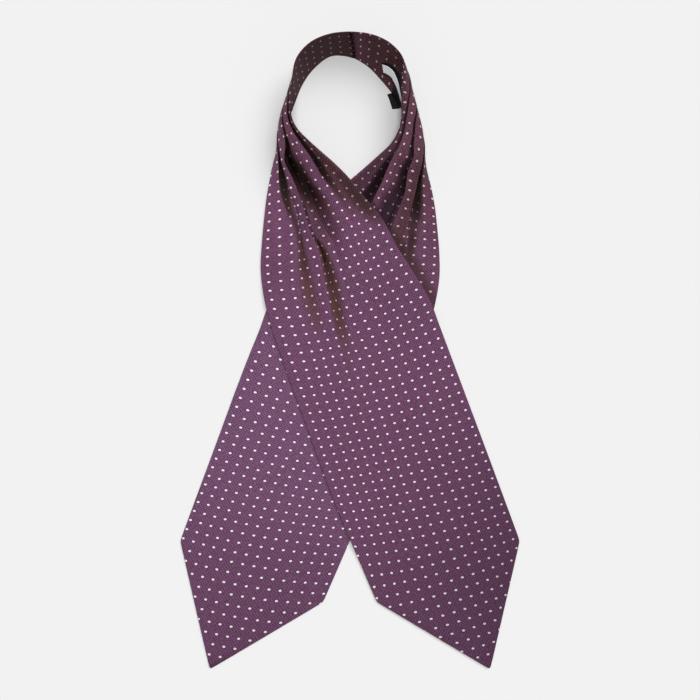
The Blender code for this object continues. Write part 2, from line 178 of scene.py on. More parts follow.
# How high those folds stand over the lay of the half
HEIGHT_COLUMNS = PLACE_COLUMNS
UPPER_HEIGHTS = (
    (0, 0, 0.9, 0.5, 0, 1, 0.6, 0, 1),
    (118, 0, 0.9, 0.5, 0, 1.2, 0.6, 0, 1.1),
    (130, 0, 1.1, 0.6, 0, 2, 0.8, 0.2, 1.6),
    (145, 0.2, 2.2, 0.5, 0.2, 4.4, 1.8, 0.6, 3),
    (165, 0.5, 3.8, 0.3, 0.5, 7.4, 4.6, 1, 4.6),
    (185, 0.8, 4.6, 0.1, 0.8, 8.8, 5, 1, 4.6),
    (205, 1, 4.4, 0, 0.9, 8.8, 4, 1.6, 3.6),
    (230, 0.8, 3.2, 0, 0.6, 7.6, 2.8, 1.6, 2.6),
    (255, 0.5, 2.2, 0.2, 0.2, 6.2, 2, 1.2, 1.9),
    (280, 0.3, 1.5, 0.5, 0, 4.8, 1.3, 0.8, 1.5),
    (310, 0.2, 1, 0.7, 0, 3.2, 0.7, 0.4, 1),
    (350, 0.1, 0.5, 0.5, 0, 1.5, 0.2, 0.1, 0.5),
    (390, 0, 0.2, 0.2, 0, 0.6, 0, 0, 0.2),
    (450, 0, 0, 0, 0, 0, 0, 0, 0),
)
LOWER_HEIGHTS = (
    (0, 0, 0.9, 0.5, 0, 1, 0.6, 0, 1),
    (118, 0, 0.9, 0.5, 0, 1.2, 0.6, 0, 1.1),
    (130, 0, 1.1, 0.6, 0, 1.9, 1, 0.2, 1.6),
    (145, 0.2, 2, 0.6, 0.2, 3.6, 2.4, 0.4, 2.2),
    (165, 0.5, 3.6, 0.4, 0.5, 6, 4.6, 0.6, 3.2),
    (185, 0.7, 3.8, 0.2, 0.7, 6.8, 4.8, 0.8, 3.4),
    (205, 0.7, 2.8, 0.1, 0.8, 6.2, 3.8, 1, 2.8),
    (230, 0.5, 1.6, 0, 0.8, 4.6, 2.4, 0.9, 2),
    (255, 0.3, 0.9, 0, 0.5, 2.8, 1.3, 0.5, 1.2),
    (285, 0.1, 0.4, 0, 0.2, 1.2, 0.5, 0.2, 0.6),
    (320, 0, 0.1, 0, 0, 0.3, 0.1, 0, 0.2),
    (360, 0, 0, 0, 0, 0, 0, 0, 0),
)

# Which line of the cloth, in millimetres from its neck edge, comes to each fold
CLOTH_COLUMNS = ("along",) + FOLD_LINES
UPPER_CLOTH = (
    (0, 14.5, 27, 42, 48, 55, 101, 109, 113.5, 139.5, 150),
    (72, 14.5, 27, 42, 47.5, 55, 101, 109, 113.5, 139.5, 150),
    (100, 14.3, 20, 42, 47.5, 54.5, 97, 109.5, 113.5, 139, 150),
    (118, 14, 23, 41, 48.5, 56.5, 93, 108.5, 112.5, 138.2, 150.5),
    (130, 13.4, 26, 40, 50, 60, 93, 107.5, 112, 138, 151.6),
    (138, 12.6, 24, 39.5, 52.5, 63, 94.5, 107.3, 112.5, 138.3, 152.4),
    (144, 11.9, 22.5, 38.5, 55.5, 66.5, 96.5, 107, 114, 139, 153.1),
    (150, 11.1, 21.5, 38, 58.5, 70, 98.5, 107, 117, 140.5, 153.5),
    (158, 10, 20, 37.3, 58.5, 71, 98.3, 107, 120, 141.5, 154),
    (166, 9, 19.5, 36.6, 58.5, 72, 98, 107, 122, 141.7, 154.7),
    (182, 7.8, 19.7, 35.8, 58, 74, 98, 107, 122, 140.8, 157.1),
    (190, 7.4, 19.8, 34.4, 58.2, 73, 98.2, 107.3, 121, 139.2, 157.8),
    (200, 7, 19.9, 33.2, 58.5, 72, 98.5, 107.5, 120, 137, 158.4),
    (210, 6.6, 20, 33.2, 60, 73, 98.3, 107.5, 120, 134.3, 158.3),
    (225, 5.6, 20, 34, 62, 74, 98, 108.5, 120, 132.6, 158.3),
    (237, 3, 19, 35.7, 61.7, 73.5, 97.6, 110, 119.5, 132.2, 158.5),
    (250, 0, 18, 37.5, 61.4, 73, 97.2, 111.5, 119, 131.7, 158.7),
    (262, 0, 18.5, 39.5, 64, 75.5, 97.5, 114.5, 119.5, 130.5, 158.9),
    (275, 0, 19, 41.5, 66.3, 77.5, 98, 117, 120.3, 129.5, 159.1),
    (300, 0, 20.2, 43.5, 68.8, 79, 94.5, 113.5, 118.2, 131, 160),
    (325, 0, 22, 46, 75, 86, 99, 117, 121.5, 134.5, 160),
    (350, 0, 24.5, 48, 80.4, 91.4, 103.7, 119.8, 125, 139, 160),
    (390, 0.3, 29, 50.8, 88, 96.5, 106, 120, 124.4, 139, 161),
    (450, 0.5, 29, 50.7, 87.3, 94.6, 103.7, 118.2, 122.5, 137.4, 160),
    (500, 1.8, 29.5, 50.2, 85.2, 92.3, 101, 116, 120, 135.5, 159.3),
    (550, 1.8, 29.4, 50, 84.3, 91, 99.5, 113.3, 117.3, 132, 155),
    (600, 0.2, 28.5, 49.4, 82.2, 88.4, 96, 108, 111.6, 124.6, 145),
    (640, 0, 29, 50.3, 83.3, 89.2, 96.4, 107.3, 110.5, 122, 140),
    (709, 5, 32, 53, 88, 94, 101.5, 112.5, 115.5, 128, 145),
)
LOWER_CLOTH = (
    (0, 14.5, 27, 42, 48, 55, 101, 109, 113.5, 139.5, 150),
    (72, 14.5, 27, 42, 47.5, 55, 101, 109, 113.5, 139.5, 150),
    (100, 14.2, 20, 42, 47, 54.5, 97, 110, 114.3, 139, 150),
    (118, 14, 22, 42.5, 49.5, 57.5, 92, 109, 113, 138.5, 150.5),
    (130, 13, 22.5, 43.5, 51, 60.5, 92.5, 108, 112, 138, 151.2),
    (138, 12.5, 23, 42, 53, 63, 93.5, 107.5, 112.5, 137.5, 151.6),
    (144, 11.9, 22.5, 40.5, 53.6, 64.5, 94.3, 107, 114.5, 137.3, 151.9),
    (150, 11.3, 22, 39, 54.3, 66, 95, 106.5, 117, 137.3, 152.1),
    (158, 9, 26, 37.5, 55, 67.5, 95.8, 106.2, 119, 137.4, 152.5),
    (166, 7.6, 30, 39, 55.7, 69.5, 96, 106, 120, 137.5, 152.9),
    (182, 6.7, 34.5, 40, 57, 72, 94.5, 105.7, 120, 137.6, 154.4),
    (191, 6.5, 35.5, 40.3, 57.5, 71.5, 93.3, 106.2, 120, 137.4, 155),
    (200, 6, 36, 40.5, 58, 71, 92, 107, 120, 136.8, 155.4),
    (210, 5, 36.5, 42, 59.5, 72, 92.5, 108.5, 120.5, 136, 155.9),
    (225, 3, 37, 46.5, 62, 74, 93.5, 112, 121, 134.1, 156.6),
    (250, 0, 36, 54, 68, 78, 95.5, 115.5, 119.5, 133, 157.8),
    (285, 0, 36, 58, 75, 83, 98, 115, 119, 131.5, 158.5),
    (320, 0, 34, 56, 80, 88, 100, 115, 121, 133, 160),
    (400, -1.6, 24.2, 45.5, 80.7, 89, 97.6, 111.2, 115.2, 130.4, 154.7),
    (450, -0.4, 25.7, 47, 82, 90.7, 99.6, 113.8, 118, 133.4, 157.7),
    (500, 0.4, 28, 50, 86.6, 95.9, 105.3, 120.2, 124.5, 140.6, 166),
    (550, 2, 30.2, 52, 86.7, 95.3, 104, 117.8, 121.8, 136.6, 160),
    (600, 3.6, 31.3, 52.6, 85.8, 94, 102, 115, 118.8, 132.7, 154.3),
    (640, 2.5, 30, 51, 84.4, 92.4, 100.3, 112.5, 116, 129, 149),
    (709, 0, 26.5, 47.5, 81, 89, 97, 109, 112.5, 125.5, 145),
)

# Woven dots: spacing across and along the cloth, and the first dot's place
DOT_COLUMNS = ("pitch_across", "first_across", "pitch_along", "first_along")
UPPER_DOTS = (9.8, 6.1, 9.04, 138.5)
LOWER_DOTS = (10.43, 5.7, 9.74, 350.6)

# How far the rows of dots run ahead, slant and bow over the width of the cloth
ROW_COLUMNS = ("along", "ahead", "slant", "bow")
UPPER_ROWS = (
    (0, 17, 6, 0),
    (140, 16.6, 7, -3),
    (155, 15, 8, -8),
    (170, 12.3, 10.2, -7),
    (190, 7.5, 12, 6),
    (210, 5, 14, 13),
    (230, 3.7, 15.8, 17),
    (250, 2.3, 17.3, 22),
    (275, 1.2, 19.3, 31),
    (300, -0.4, 18.5, 36),
    (325, -2, 19, 37),
    (360, -2.4, 17, 37),
    (400, -1.5, 19.6, 29),
    (450, -0.2, 22, 19.6),
    (500, 0.5, 25.3, 19.6),
    (560, 0.2, 26, 16.5),
    (600, -3.3, 18, 12),
    (640, -8.4, 14, 11.4),
    (680, -12.6, 15, 12),
    (709, -15.5, 15, 12),
)
LOWER_ROWS = (
    (0, 11, 10, 0),
    (140, 11, 10, -6),
    (152, 10.4, 10.5, -4),
    (162, 8.7, 11, -1),
    (170, 8, 10.5, 0),
    (180, 7.1, 10.3, 3.5),
    (190, 6, 9.5, 15.5),
    (199, 4.9, 11, 28),
    (208, 3.6, 10.5, 42),
    (218, 2.8, 18, 39),
    (229, 1.5, 31, 25),
    (249, 0.8, 38, 25),
    (267, 1.7, 38.3, 25),
    (300, 0, 34, 22),
    (400, -7, 19, 10),
    (450, -3.5, 25, 10),
    (500, 1.1, 35, 20.7),
    (550, 1.4, 36.8, 19.7),
    (600, -4, 34.4, 21),
    (640, -8.6, 32, 24),
    (680, -12.2, 28, 20),
    (709, -15.3, 26, 18),
)

def stitched(share):
    """First two rows of a band that follows a stitched pleat of the neckband."""
    return (0, share, 0.6, 0.6, 0.3, 0.45, 1), (72, share, 0.6, 0.6, 0.3, 0.6, 1)


# Painted shade of the folds. A band runs along the cloth between two fold lines; its rows
# give where its middle lies across the section, how far it reaches towards the neck edge
# and towards the outer edge in millimetres, how brown it is (the silk's own brown side,
# painted where the folds turn it from the light), how dark its painted shade is, and how
# sharply the two fold lines cut it off.
BAND_COLUMNS = ("along", "share", "near", "far", "brown", "painted_shading", "cut")
UPPER_BANDS = (
    ("neck", "ridge_a", (
        *stitched(0.25),
        (100, 0.09, 0.8, 1, 0.4, 0.75, 1),
        (118, 0.045, 1.2, 2, 0.5, 0.85, 1),
        (135, 0.067, 1.6, 2, 0.6, 0.88, 1),
        (150, 0.103, 2.5, 2.5, 0.7, 0.84, 1),
        (160, 0.123, 3, 3, 0.7, 0.84, 1),
        (170, 0.15, 4.5, 4, 0.7, 0.85, 1),
        (180, 0.173, 5, 4, 0.7, 0.8, 1),
        (190, 0.183, 5, 3.5, 0.65, 0.7, 1),
        (200, 0.18, 4.5, 3.5, 0.6, 0.48, 0.5),
        (212, 0.175, 4, 3.5, 0.5, 0.33, 0),
        (230, 0.17, 4, 4, 0.25, 0.1, 0),
        (250, 0.17, 5, 5, 0, 0, 0))),
    ("neck", "ridge_a", (
        (100, 0, 3, 3, 0.4, 0.25, 1),
        (140, 0.031, 3, 5, 0.5, 0.35, 1),
        (165, 0.057, 3, 7, 0.65, 0.42, 1),
        (190, 0.047, 4, 10, 0.65, 0.33, 0.5),
        (215, 0.033, 4, 12, 0.6, 0.44, 0),
        (240, 0.02, 4, 12, 0.5, 0.32, 0),
        (265, 0, 3, 8, 0, 0, 0))),
    ("ridge_a", "ridge_b", (
        *stitched(0.5),
        (100, 0.36, 0.8, 0.8, 0.4, 0.75, 1),
        (118, 0.24, 1.2, 1.2, 0.5, 0.85, 1),
        (130, 0.279, 1.5, 1.5, 0.6, 0.88, 1),
        (137, 0.335, 2.5, 2, 0.7, 0.88, 1),
        (143, 0.41, 5, 4, 0.8, 0.85, 1),
        (149, 0.48, 7.5, 7, 0.85, 0.85, 1),
        (157, 0.485, 7.2, 9, 0.9, 0.9, 1),
        (167, 0.475, 8, 12, 0.9, 0.88, 1),
        (178, 0.46, 8, 11, 0.9, 0.84, 1),
        (188, 0.445, 8, 11.5, 0.85, 0.8, 1),
        (198, 0.43, 9, 11.5, 0.8, 0.74, 1),
        (208, 0.41, 10, 12, 0.7, 0.6, 1),
        (218, 0.405, 12, 12, 0.5, 0.42, 1),
        (230, 0.41, 13, 14, 0.3, 0.32, 1),
        (245, 0.42, 14, 16, 0.15, 0.2, 1),
        (262, 0.43, 14, 16, 0, 0.08, 1),
        (280, 0.43, 14, 16, 0, 0, 1))),
    ("trough", "ridge_b", (
        (190, 0.533, 1, 2, 0, 0, 1),
        (200, 0.533, 1, 2, 0.2, 0.3, 1),
        (240, 0.536, 1.2, 2, 0.3, 0.35, 1),
        (250, 0.512, 3, 3, 0.7, 0.45, 1),
        (262, 0.505, 4.5, 3, 0.9, 0.5, 1),
        (275, 0.51, 6.5, 3.5, 0.9, 0.46, 1),
        (290, 0.524, 8, 4.5, 0.88, 0.38, 1),
        (305, 0.542, 8, 5, 0.72, 0.26, 1),
        (320, 0.564, 7.5, 5, 0.7, 0.24, 0.8),
        (335, 0.583, 7, 5, 0.6, 0.18, 0.5),
        (350, 0.6, 6, 5, 0.35, 0.1, 0),
        (370, 0.62, 6, 6, 0.15, 0.03, 0),
        (390, 0.63, 6, 6, 0, 0, 0))),
    ("trough", "ridge_b", (
        (238, 0.534, 1.2, 1.2, 0, 0, 1),
        (246, 0.52, 1.4, 1.4, 0.8, 0.6, 1),
        (254, 0.51, 1.5, 1.5, 0.9, 0.75, 1),
        (264, 0.504, 1.6, 1.6, 0.9, 0.75, 1),
        (274, 0.512, 1.6, 1.6, 0.9, 0.62, 1),
        (286, 0.53, 1.8, 1.8, 0, 0, 1))),
    ("ridge_b", "ridge_c", (
        *stitched(0.75),
        (100, 0.74, 0.7, 0.7, 0.4, 0.7, 1),
        (118, 0.69, 0.8, 0.8, 0.5, 0.8, 1),
        (135, 0.659, 0.8, 0.8, 0.6, 0.85, 1),
        (150, 0.697, 2, 2.5, 0.7, 0.88, 1),
        (158, 0.708, 4, 3.5, 0.85, 0.9, 1),
        (166, 0.712, 4.5, 4.5, 0.9, 0.88, 1),
        (176, 0.712, 5, 5, 0.9, 0.8, 1),
        (186, 0.71, 4.5, 5, 0.85, 0.72, 1),
        (195, 0.7, 3.5, 5, 0.75, 0.64, 1),
        (204, 0.69, 3.5, 4.5, 0.6, 0.52, 0.5),
        (212, 0.67, 3.5, 4, 0.5, 0.42, 0),
        (230, 0.65, 3, 3, 0.5, 0.34, 0),
        (245, 0.65, 3, 3.5, 0.6, 0.32, 0),
        (262, 0.663, 5, 5, 0.62, 0.27, 0),
        (280, 0.672, 6, 6.5, 0.55, 0.16, 0),
        (300, 0.69, 7, 8, 0.5, 0.09, 0),
        (320, 0.71, 7, 7, 0.3, 0.06, 0),
        (340, 0.72, 7, 7, 0, 0, 0))),
)
LOWER_BANDS = (
    ("neck", "ridge_a", (
        *stitched(0.25),
        (100, 0.11, 0.8, 0.8, 0.4, 0.7, 1),
        (118, 0.05, 1.2, 1.5, 0.4, 0.75, 1),
        (135, 0.076, 1.5, 1.5, 0.4, 0.7, 1),
        (150, 0.115, 3, 3, 0.35, 0.5, 1),
        (162, 0.168, 4, 5, 0.45, 0.75, 1),
        (172, 0.19, 5, 7, 0.45, 0.78, 1),
        (184, 0.215, 6.5, 9, 0.45, 0.8, 1),
        (198, 0.232, 7, 10, 0.4, 0.78, 1),
        (215, 0.22, 14, 12, 0.35, 0.7, 1),
        (250, 0.237, 16, 14, 0.3, 0.5, 1),
        (300, 0.24, 16, 14, 0, 0, 0))),
    ("neck", "ridge_a", (
        (100, 0, 4, 4, 0.3, 0.2, 1),
        (150, 0.054, 4, 8, 0.3, 0.25, 1),
        (180, 0.06, 4, 10, 0.3, 0.35, 1),
        (205, 0.055, 4, 12, 0.3, 0.35, 1),
        (260, 0.05, 4, 12, 0, 0, 0))),
    ("ridge_a", "ridge_b", (
        *stitched(0.5),
        (100, 0.36, 0.8, 0.8, 0.4, 0.7, 1),
        (118, 0.235, 1.2, 1.2, 0.5, 0.8, 1),
        (128, 0.262, 1.4, 1.2, 0.5, 0.82, 1),
        (136, 0.313, 2, 2, 0.5, 0.78, 1),
        (143, 0.395, 4, 3, 0.5, 0.62, 1),
        (150, 0.427, 5, 4, 0.5, 0.58, 1),
        (160, 0.459, 6, 5, 0.5, 0.67, 1),
        (170, 0.489, 7, 6, 0.45, 0.67, 1),
        (180, 0.506, 8, 8, 0.35, 0.67, 1),
        (192, 0.494, 10, 10, 0.2, 0.6, 1),
        (205, 0.478, 11, 11, 0.15, 0.6, 1),
        (220, 0.473, 12, 12, 0.15, 0.6, 1),
        (250, 0.465, 14, 14, 0.2, 0.4, 1),
        (300, 0.47, 14, 14, 0, 0, 0))),
    ("edge_c", "outer", (
        *stitched(0.75),
        (118, 0.72, 0.8, 0.8, 0.5, 0.8, 1),
        (136, 0.711, 0.8, 1.2, 0.5, 0.8, 1),
        (147, 0.705, 3, 4, 0.6, 0.88, 1),
        (158, 0.72, 5, 4.5, 0.7, 0.9, 1),
        (168, 0.732, 5, 5, 0.75, 0.86, 1),
        (178, 0.738, 6, 6, 0.75, 0.8, 1),
        (190, 0.742, 7, 6.5, 0.7, 0.72, 1),
        (200, 0.74, 6, 7, 0.6, 0.58, 1),
        (210, 0.73, 5, 6, 0.4, 0.42, 1),
        (225, 0.735, 4, 6, 0.55, 0.48, 1),
        (245, 0.735, 4, 6, 0.5, 0.35, 1),
        (270, 0.73, 4, 5, 0.3, 0.15, 0),
        (290, 0.7, 2, 3, 0, 0, 0))),
    ("neck", "outer", (
        (190, -0.1, 6, 6, 0.2, 0.1, 0),
        (199, 0.07, 6, 10, 0.2, 0.36, 0),
        (205, 0.18, 6, 12, 0.2, 0.42, 0),
        (210, 0.28, 6, 13, 0.2, 0.45, 0),
        (218, 0.4, 6, 14, 0.2, 0.45, 0),
        (230, 0.535, 6, 18, 0.45, 0.42, 0),
        (246, 0.7, 6, 18, 0.5, 0.38, 0),
        (257, 0.79, 6, 18, 0.4, 0.32, 0),
        (270, 0.9, 7, 18, 0.4, 0.32, 0),
        (282, 1, 7, 16, 0.35, 0.3, 0),
        (295, 1.1, 6, 5, 0.2, 0.15, 0))),
    ("ridge_b", "edge_c", (
        (130, 0.685, 8, 8, 0, 0, 1),
        (150, 0.669, 8, 8, 0.5, 0.15, 1),
        (180, 0.658, 8, 8, 0.5, 0.15, 1),
        (220, 0.64, 10, 10, 0.5, 0.2, 1),
        (245, 0.643, 12, 12, 0.5, 0.2, 0),
        (285, 0.65, 12, 12, 0, 0, 0))),
)

# Painted light and shade of the open silk along each half: how brown it is (the silk's own
# brown side, painted where the neckband turns from the light; below nought the cooler plum,
# painted where the light falls on it from another side), how dark it is painted, and how
# much darker its outer edge is painted than its neck edge. Less than nought is brighter.
TONE_COLUMNS = ("along", "brown", "painted_shading", "lean")
UPPER_TONES = (
    (0, 0.4, 0, -0.3),
    (90, 0.4, -0.25, -0.5),
    (120, 0.4, -0.3, -0.55),
    (150, 0.3, -0.3, -0.5),
    (200, 0.12, -0.1, -0.35),
    (240, 0.08, 0, -0.05),
    (300, 0, 0.05, -0.12),
    (450, 0, 0.1, -0.08),
    (520, 0, 0.2, -0.25),
    (600, 0, 0.36, -0.2),
    (709, 0, 0.45, -0.1),
)
LOWER_TONES = (
    (0, 0.4, 0.1, 0),
    (120, 0.5, 0.25, 0.1),
    (170, 0.4, 0.1, 0.3),
    (220, 0.2, 0.06, 0.25),
    (280, 0.05, -0.02, 0),
    (340, -0.5, 0, 0),
    (400, -0.9, 0.02, 0),
    (500, -0.9, 0.06, 0.06),
    (600, -0.4, 0.17, 0.1),
    (709, -0.1, 0.26, 0.05),
)

# Soft creases of the face: from and to along the cloth, their shares across it there,
# how wide they are and how far they rise, in millimetres
CREASE_COLUMNS = ("start", "end", "share_start", "share_end", "wide", "rise")
UPPER_CREASES = (
    (150, 290, 0.24, 0.4, 5, 0.7),
    (175, 330, 0.32, 0.3, 7, 0.5),
    (160, 300, 0.9, 0.86, 6, 0.8),
    (230, 400, 0.95, 0.93, 8, 0.5),
    (330, 520, 0.645, 0.6, 11, 0.7),
    (290, 470, 0.8, 0.74, 13, 0.5),
    (260, 430, 0.12, 0.2, 14, 0.6),
    (420, 600, 0.3, 0.24, 18, 0.5),
    (480, 690, 0.72, 0.55, 16, 0.5),
)
LOWER_CREASES = (
    (150, 260, 0.3, 0.36, 5, 0.6),
    (165, 290, 0.62, 0.66, 5, 0.5),
    (160, 320, 0.9, 0.88, 6, 0.7),
    (340, 520, 0.72, 0.66, 13, 0.6),
    (400, 590, 0.3, 0.24, 15, 0.5),
    (460, 680, 0.8, 0.58, 14, 0.5),
    (380, 500, 0.12, 0.1, 10, 0.4),
)

# Ribbons inside the lower half's neckband, as they are sewn on: where their middle line
# lies along the cloth and across it, how wide they are and how far they stand off the
# silk, in millimetres. A share over 1 lies on the table past the outer edge.
RIBBON_COLUMNS = ("along", "share", "wide", "off")
CARE_RIBBON = (
    (39, 0.65, 8.4, 0.9),
    (46, 0.58, 8.6, 1.1),
    (52, 0.545, 8.6, 1.4),
    (58, 0.565, 8.4, 1.6),
    (65, 0.57, 8.2, 1.5),
    (72, 0.55, 8, 1.5),
    (80, 0.51, 8, 1.4),
    (88, 0.47, 8, 1.2),
)
WOVEN_RIBBON = (
    (38.6, 0.61, 8.2, 0.3),
    (46, 0.53, 9.4, 0.3),
    (52, 0.485, 10, 0.35),
    (58, 0.485, 11, 0.4),
    (65, 0.46, 12, 0.4),
    (72, 0.41, 12, 0.4),
    (80, 0.36, 11, 0.4),
    (88, 0.32, 10, 0.4),
)
TONGUE_RIBBON = (
    (66.5, 0.5, 16, 0.3),
    (66, 0.7, 16.6, 0.3),
    (65.5, 0.88, 17.2, 0.3),
    (65, 1, 17.4, 0.2),
    (64.2, 1.07, 18.6, 0.1),
    (63.4, 1.14, 19.6, 0.1),
)
RIBBON_THICKNESS = 0.45
RIBBON_GRID = (49, 15)      # rows along a ribbon and columns across it
WALL_HEIGHT = 42.0          # of the neckband. Shares past 1 are counted in it.

# Where the pleats are tacked: the length along the cloth and the fold line. The size of a
# tack is in millimetres.
UPPER_TACKS = ((129, "ridge_a"), (130.5, "ridge_b"), (137, "ridge_c"))
LOWER_TACKS = ((137, "ridge_a"), (136, "ridge_b"), (132.5, "ridge_c"))
TACK_LENGTH = 3.2
TACK_WIDTH = 0.9

# How far ridges and valleys are rounded off, in millimetres
ROUNDING_COLUMNS = ("along", "ridge", "valley")
ROUNDING = ((0, 0.5, 0.5), (118, 0.6, 0.7), (165, 1.3, 3.5), (230, 2.6, 8), (290, 6, 11),
            (350, 14, 16), (400, 25, 25))

# How far the face puffs out between its folds, in millimetres
PUFF_COLUMNS = ("along", "puff")
PUFF = ((0, 0.15), (100, 0.2), (135, 0.6), (180, 1.2), (230, 1.2), (300, 0.6), (380, 0))
PUFF_MIDDLE = 3.4           # the puffed strip's place, counted in fold lines
PUFF_REACH = (0.9, 1.5)     # where it begins and ends to fade, counted in the same way
PLEATS = ((1, 2), (4, 5), (7, 8))   # valley and ridge of each pleat, counted in FOLD_LINES

# Puckers of the centre-back seam: how long a wave is across the cloth, how strong it is
# and how fast it turns along the cloth
PUCKER_WAVES = ((4.6, 1.0, 0.8), (7.3, 0.6, 0.0))

# Each half's inside: how far the centre-back seam's dark line, painted shade along its
# puckers, reaches, in millimetres, how dark the brown is painted as shade inside the
# neckband, and how much of the brown a plum patch beside the seam takes away
INSIDE_COLUMNS = ("seam_reach", "inside_painted_shade", "plum_patch")
UPPER_INSIDE = (3.6, 0.6, 0.0)
LOWER_INSIDE = (2.6, 0.42, 0.45)
PLUM_PATCH = (9.0, 7.0)     # the patch's middle and reach along the cloth

# Woven dots: how squashed they are across and along the cloth, how ragged and how soft
# their rims are, and how far off and how dark the ring of ground round them is, in
# millimetres
DOT_SQUASH = (0.72, 1.35)
DOT_RAGGED = 0.45
DOT_SOFT = 0.18
RING_REACH = (1.1, 0.1)
RING_DARK = 0.48
TWILL_SLANT = (0.72, 0.69)  # the twill's direction, across and along the cloth
BUMP_DEPTH = 0.00008        # how deep the weave's bump is, in metres

# Soft lights: name, strength, and in degrees how wide each looks, how far it stands back
# from overhead and how far to the right
LIGHTS = (("overhead_light", 1.70, 20.0, 0.0, 0.0), ("side_light", 1.80, 38.0, -36.0, 33.0))
ROOM_LIGHT = 0.18           # strength of the light from all round
CAMERA_HEIGHT = 1.15        # in metres over the table
LENS = 59.14                # in millimetres, on a sensor as wide as SENSOR
SENSOR = 36.0
FLOOR_REACH = 4.0           # half the floor's width, in metres
FLOOR_DROP = 0.00005        # how far the floor lies under the silk, in metres


def length_setting(name, description, default, limits, precision=4):
    """A setting that is a length, in metres."""
    return bpy.props.FloatProperty(
        name=name, description=description, default=default, min=limits[0], max=limits[1],
        unit="LENGTH", precision=precision)


def colour_setting(name, description, default):
    """A setting that is a colour."""
    return bpy.props.FloatVectorProperty(
        name=name, description=description, default=default, size=3, min=0.0, max=1.0,
        subtype="COLOR")


class CravatSizes(bpy.types.PropertyGroup):
    """Sizes of the cloth and of its weave."""

    panel_thickness: length_setting(
        "Panel thickness", "Thickness of each of the two layers of silk", 0.0007, (0.0002, 0.003))
    seam_gap: length_setting(
        "Seam gap", "Space between two layers that are sewn together", 0.00006, (0.0, 0.001), 5)
    edge_round: length_setting(
        "Turned edge", "Width over which a panel's edge rounds off", 0.0009, (0.0002, 0.003))
    dot_width: length_setting("Dot width", "Width of a woven dot", 0.0022, (0.0005, 0.006))
    twill_pitch: length_setting(
        "Twill pitch", "Distance between two ribs of the twill", 0.0019, (0.0003, 0.003))


class CravatColours(bpy.types.PropertyGroup):
    """Colours of the silk and of the labels."""

    plum: colour_setting("Plum", "Silk where it lies open to the light", (0.146, 0.057, 0.122))
    # Painted light: the silk's cooler plum, laid where the light falls on it from another side
    cool_plum: colour_setting(
        "Cool plum", "Silk that faces away from the warm side of the light", (0.157, 0.0695, 0.143))
    # The silk's own brown side, painted where the folds turn it from the light
    russet: colour_setting(
        "Russet", "The silk's brown side, which shows in its folds", (0.118, 0.050, 0.046))
    dot: colour_setting("Dots", "The pale thread of the woven dots", (0.95, 0.82, 0.88))
    # Painted shade: the dots' thread as it looks in the shade of the folds
    shaded_dot: colour_setting("Dots in folds", "The same thread in the folds", (0.62, 0.42, 0.38))
    black_ribbon: colour_setting("Black ribbon", "The woven label", (0.006, 0.006, 0.008))
    white_ribbon: colour_setting("White ribbon", "The care label", (0.93, 0.96, 1.0))
    thread: colour_setting("Thread", "The sewing thread of the tacks", (0.030, 0.012, 0.018))
    floor: colour_setting("Floor", "The plain floor", (0.80, 0.80, 0.80))


class Number:
    """A socket that carries a number, so that a finish's maths reads as plain sums."""

    def __init__(self, finish, socket):
        self.finish = finish
        self.socket = socket

    def __add__(self, other):
        return self.finish.maths("ADD", self, other)

    def __sub__(self, other):
        return self.finish.maths("SUBTRACT", self, other)

    def __rsub__(self, other):
        return self.finish.maths("SUBTRACT", other, self)

    def __mul__(self, other):
        return self.finish.maths("MULTIPLY", self, other)

    __radd__ = __add__
    __rmul__ = __mul__


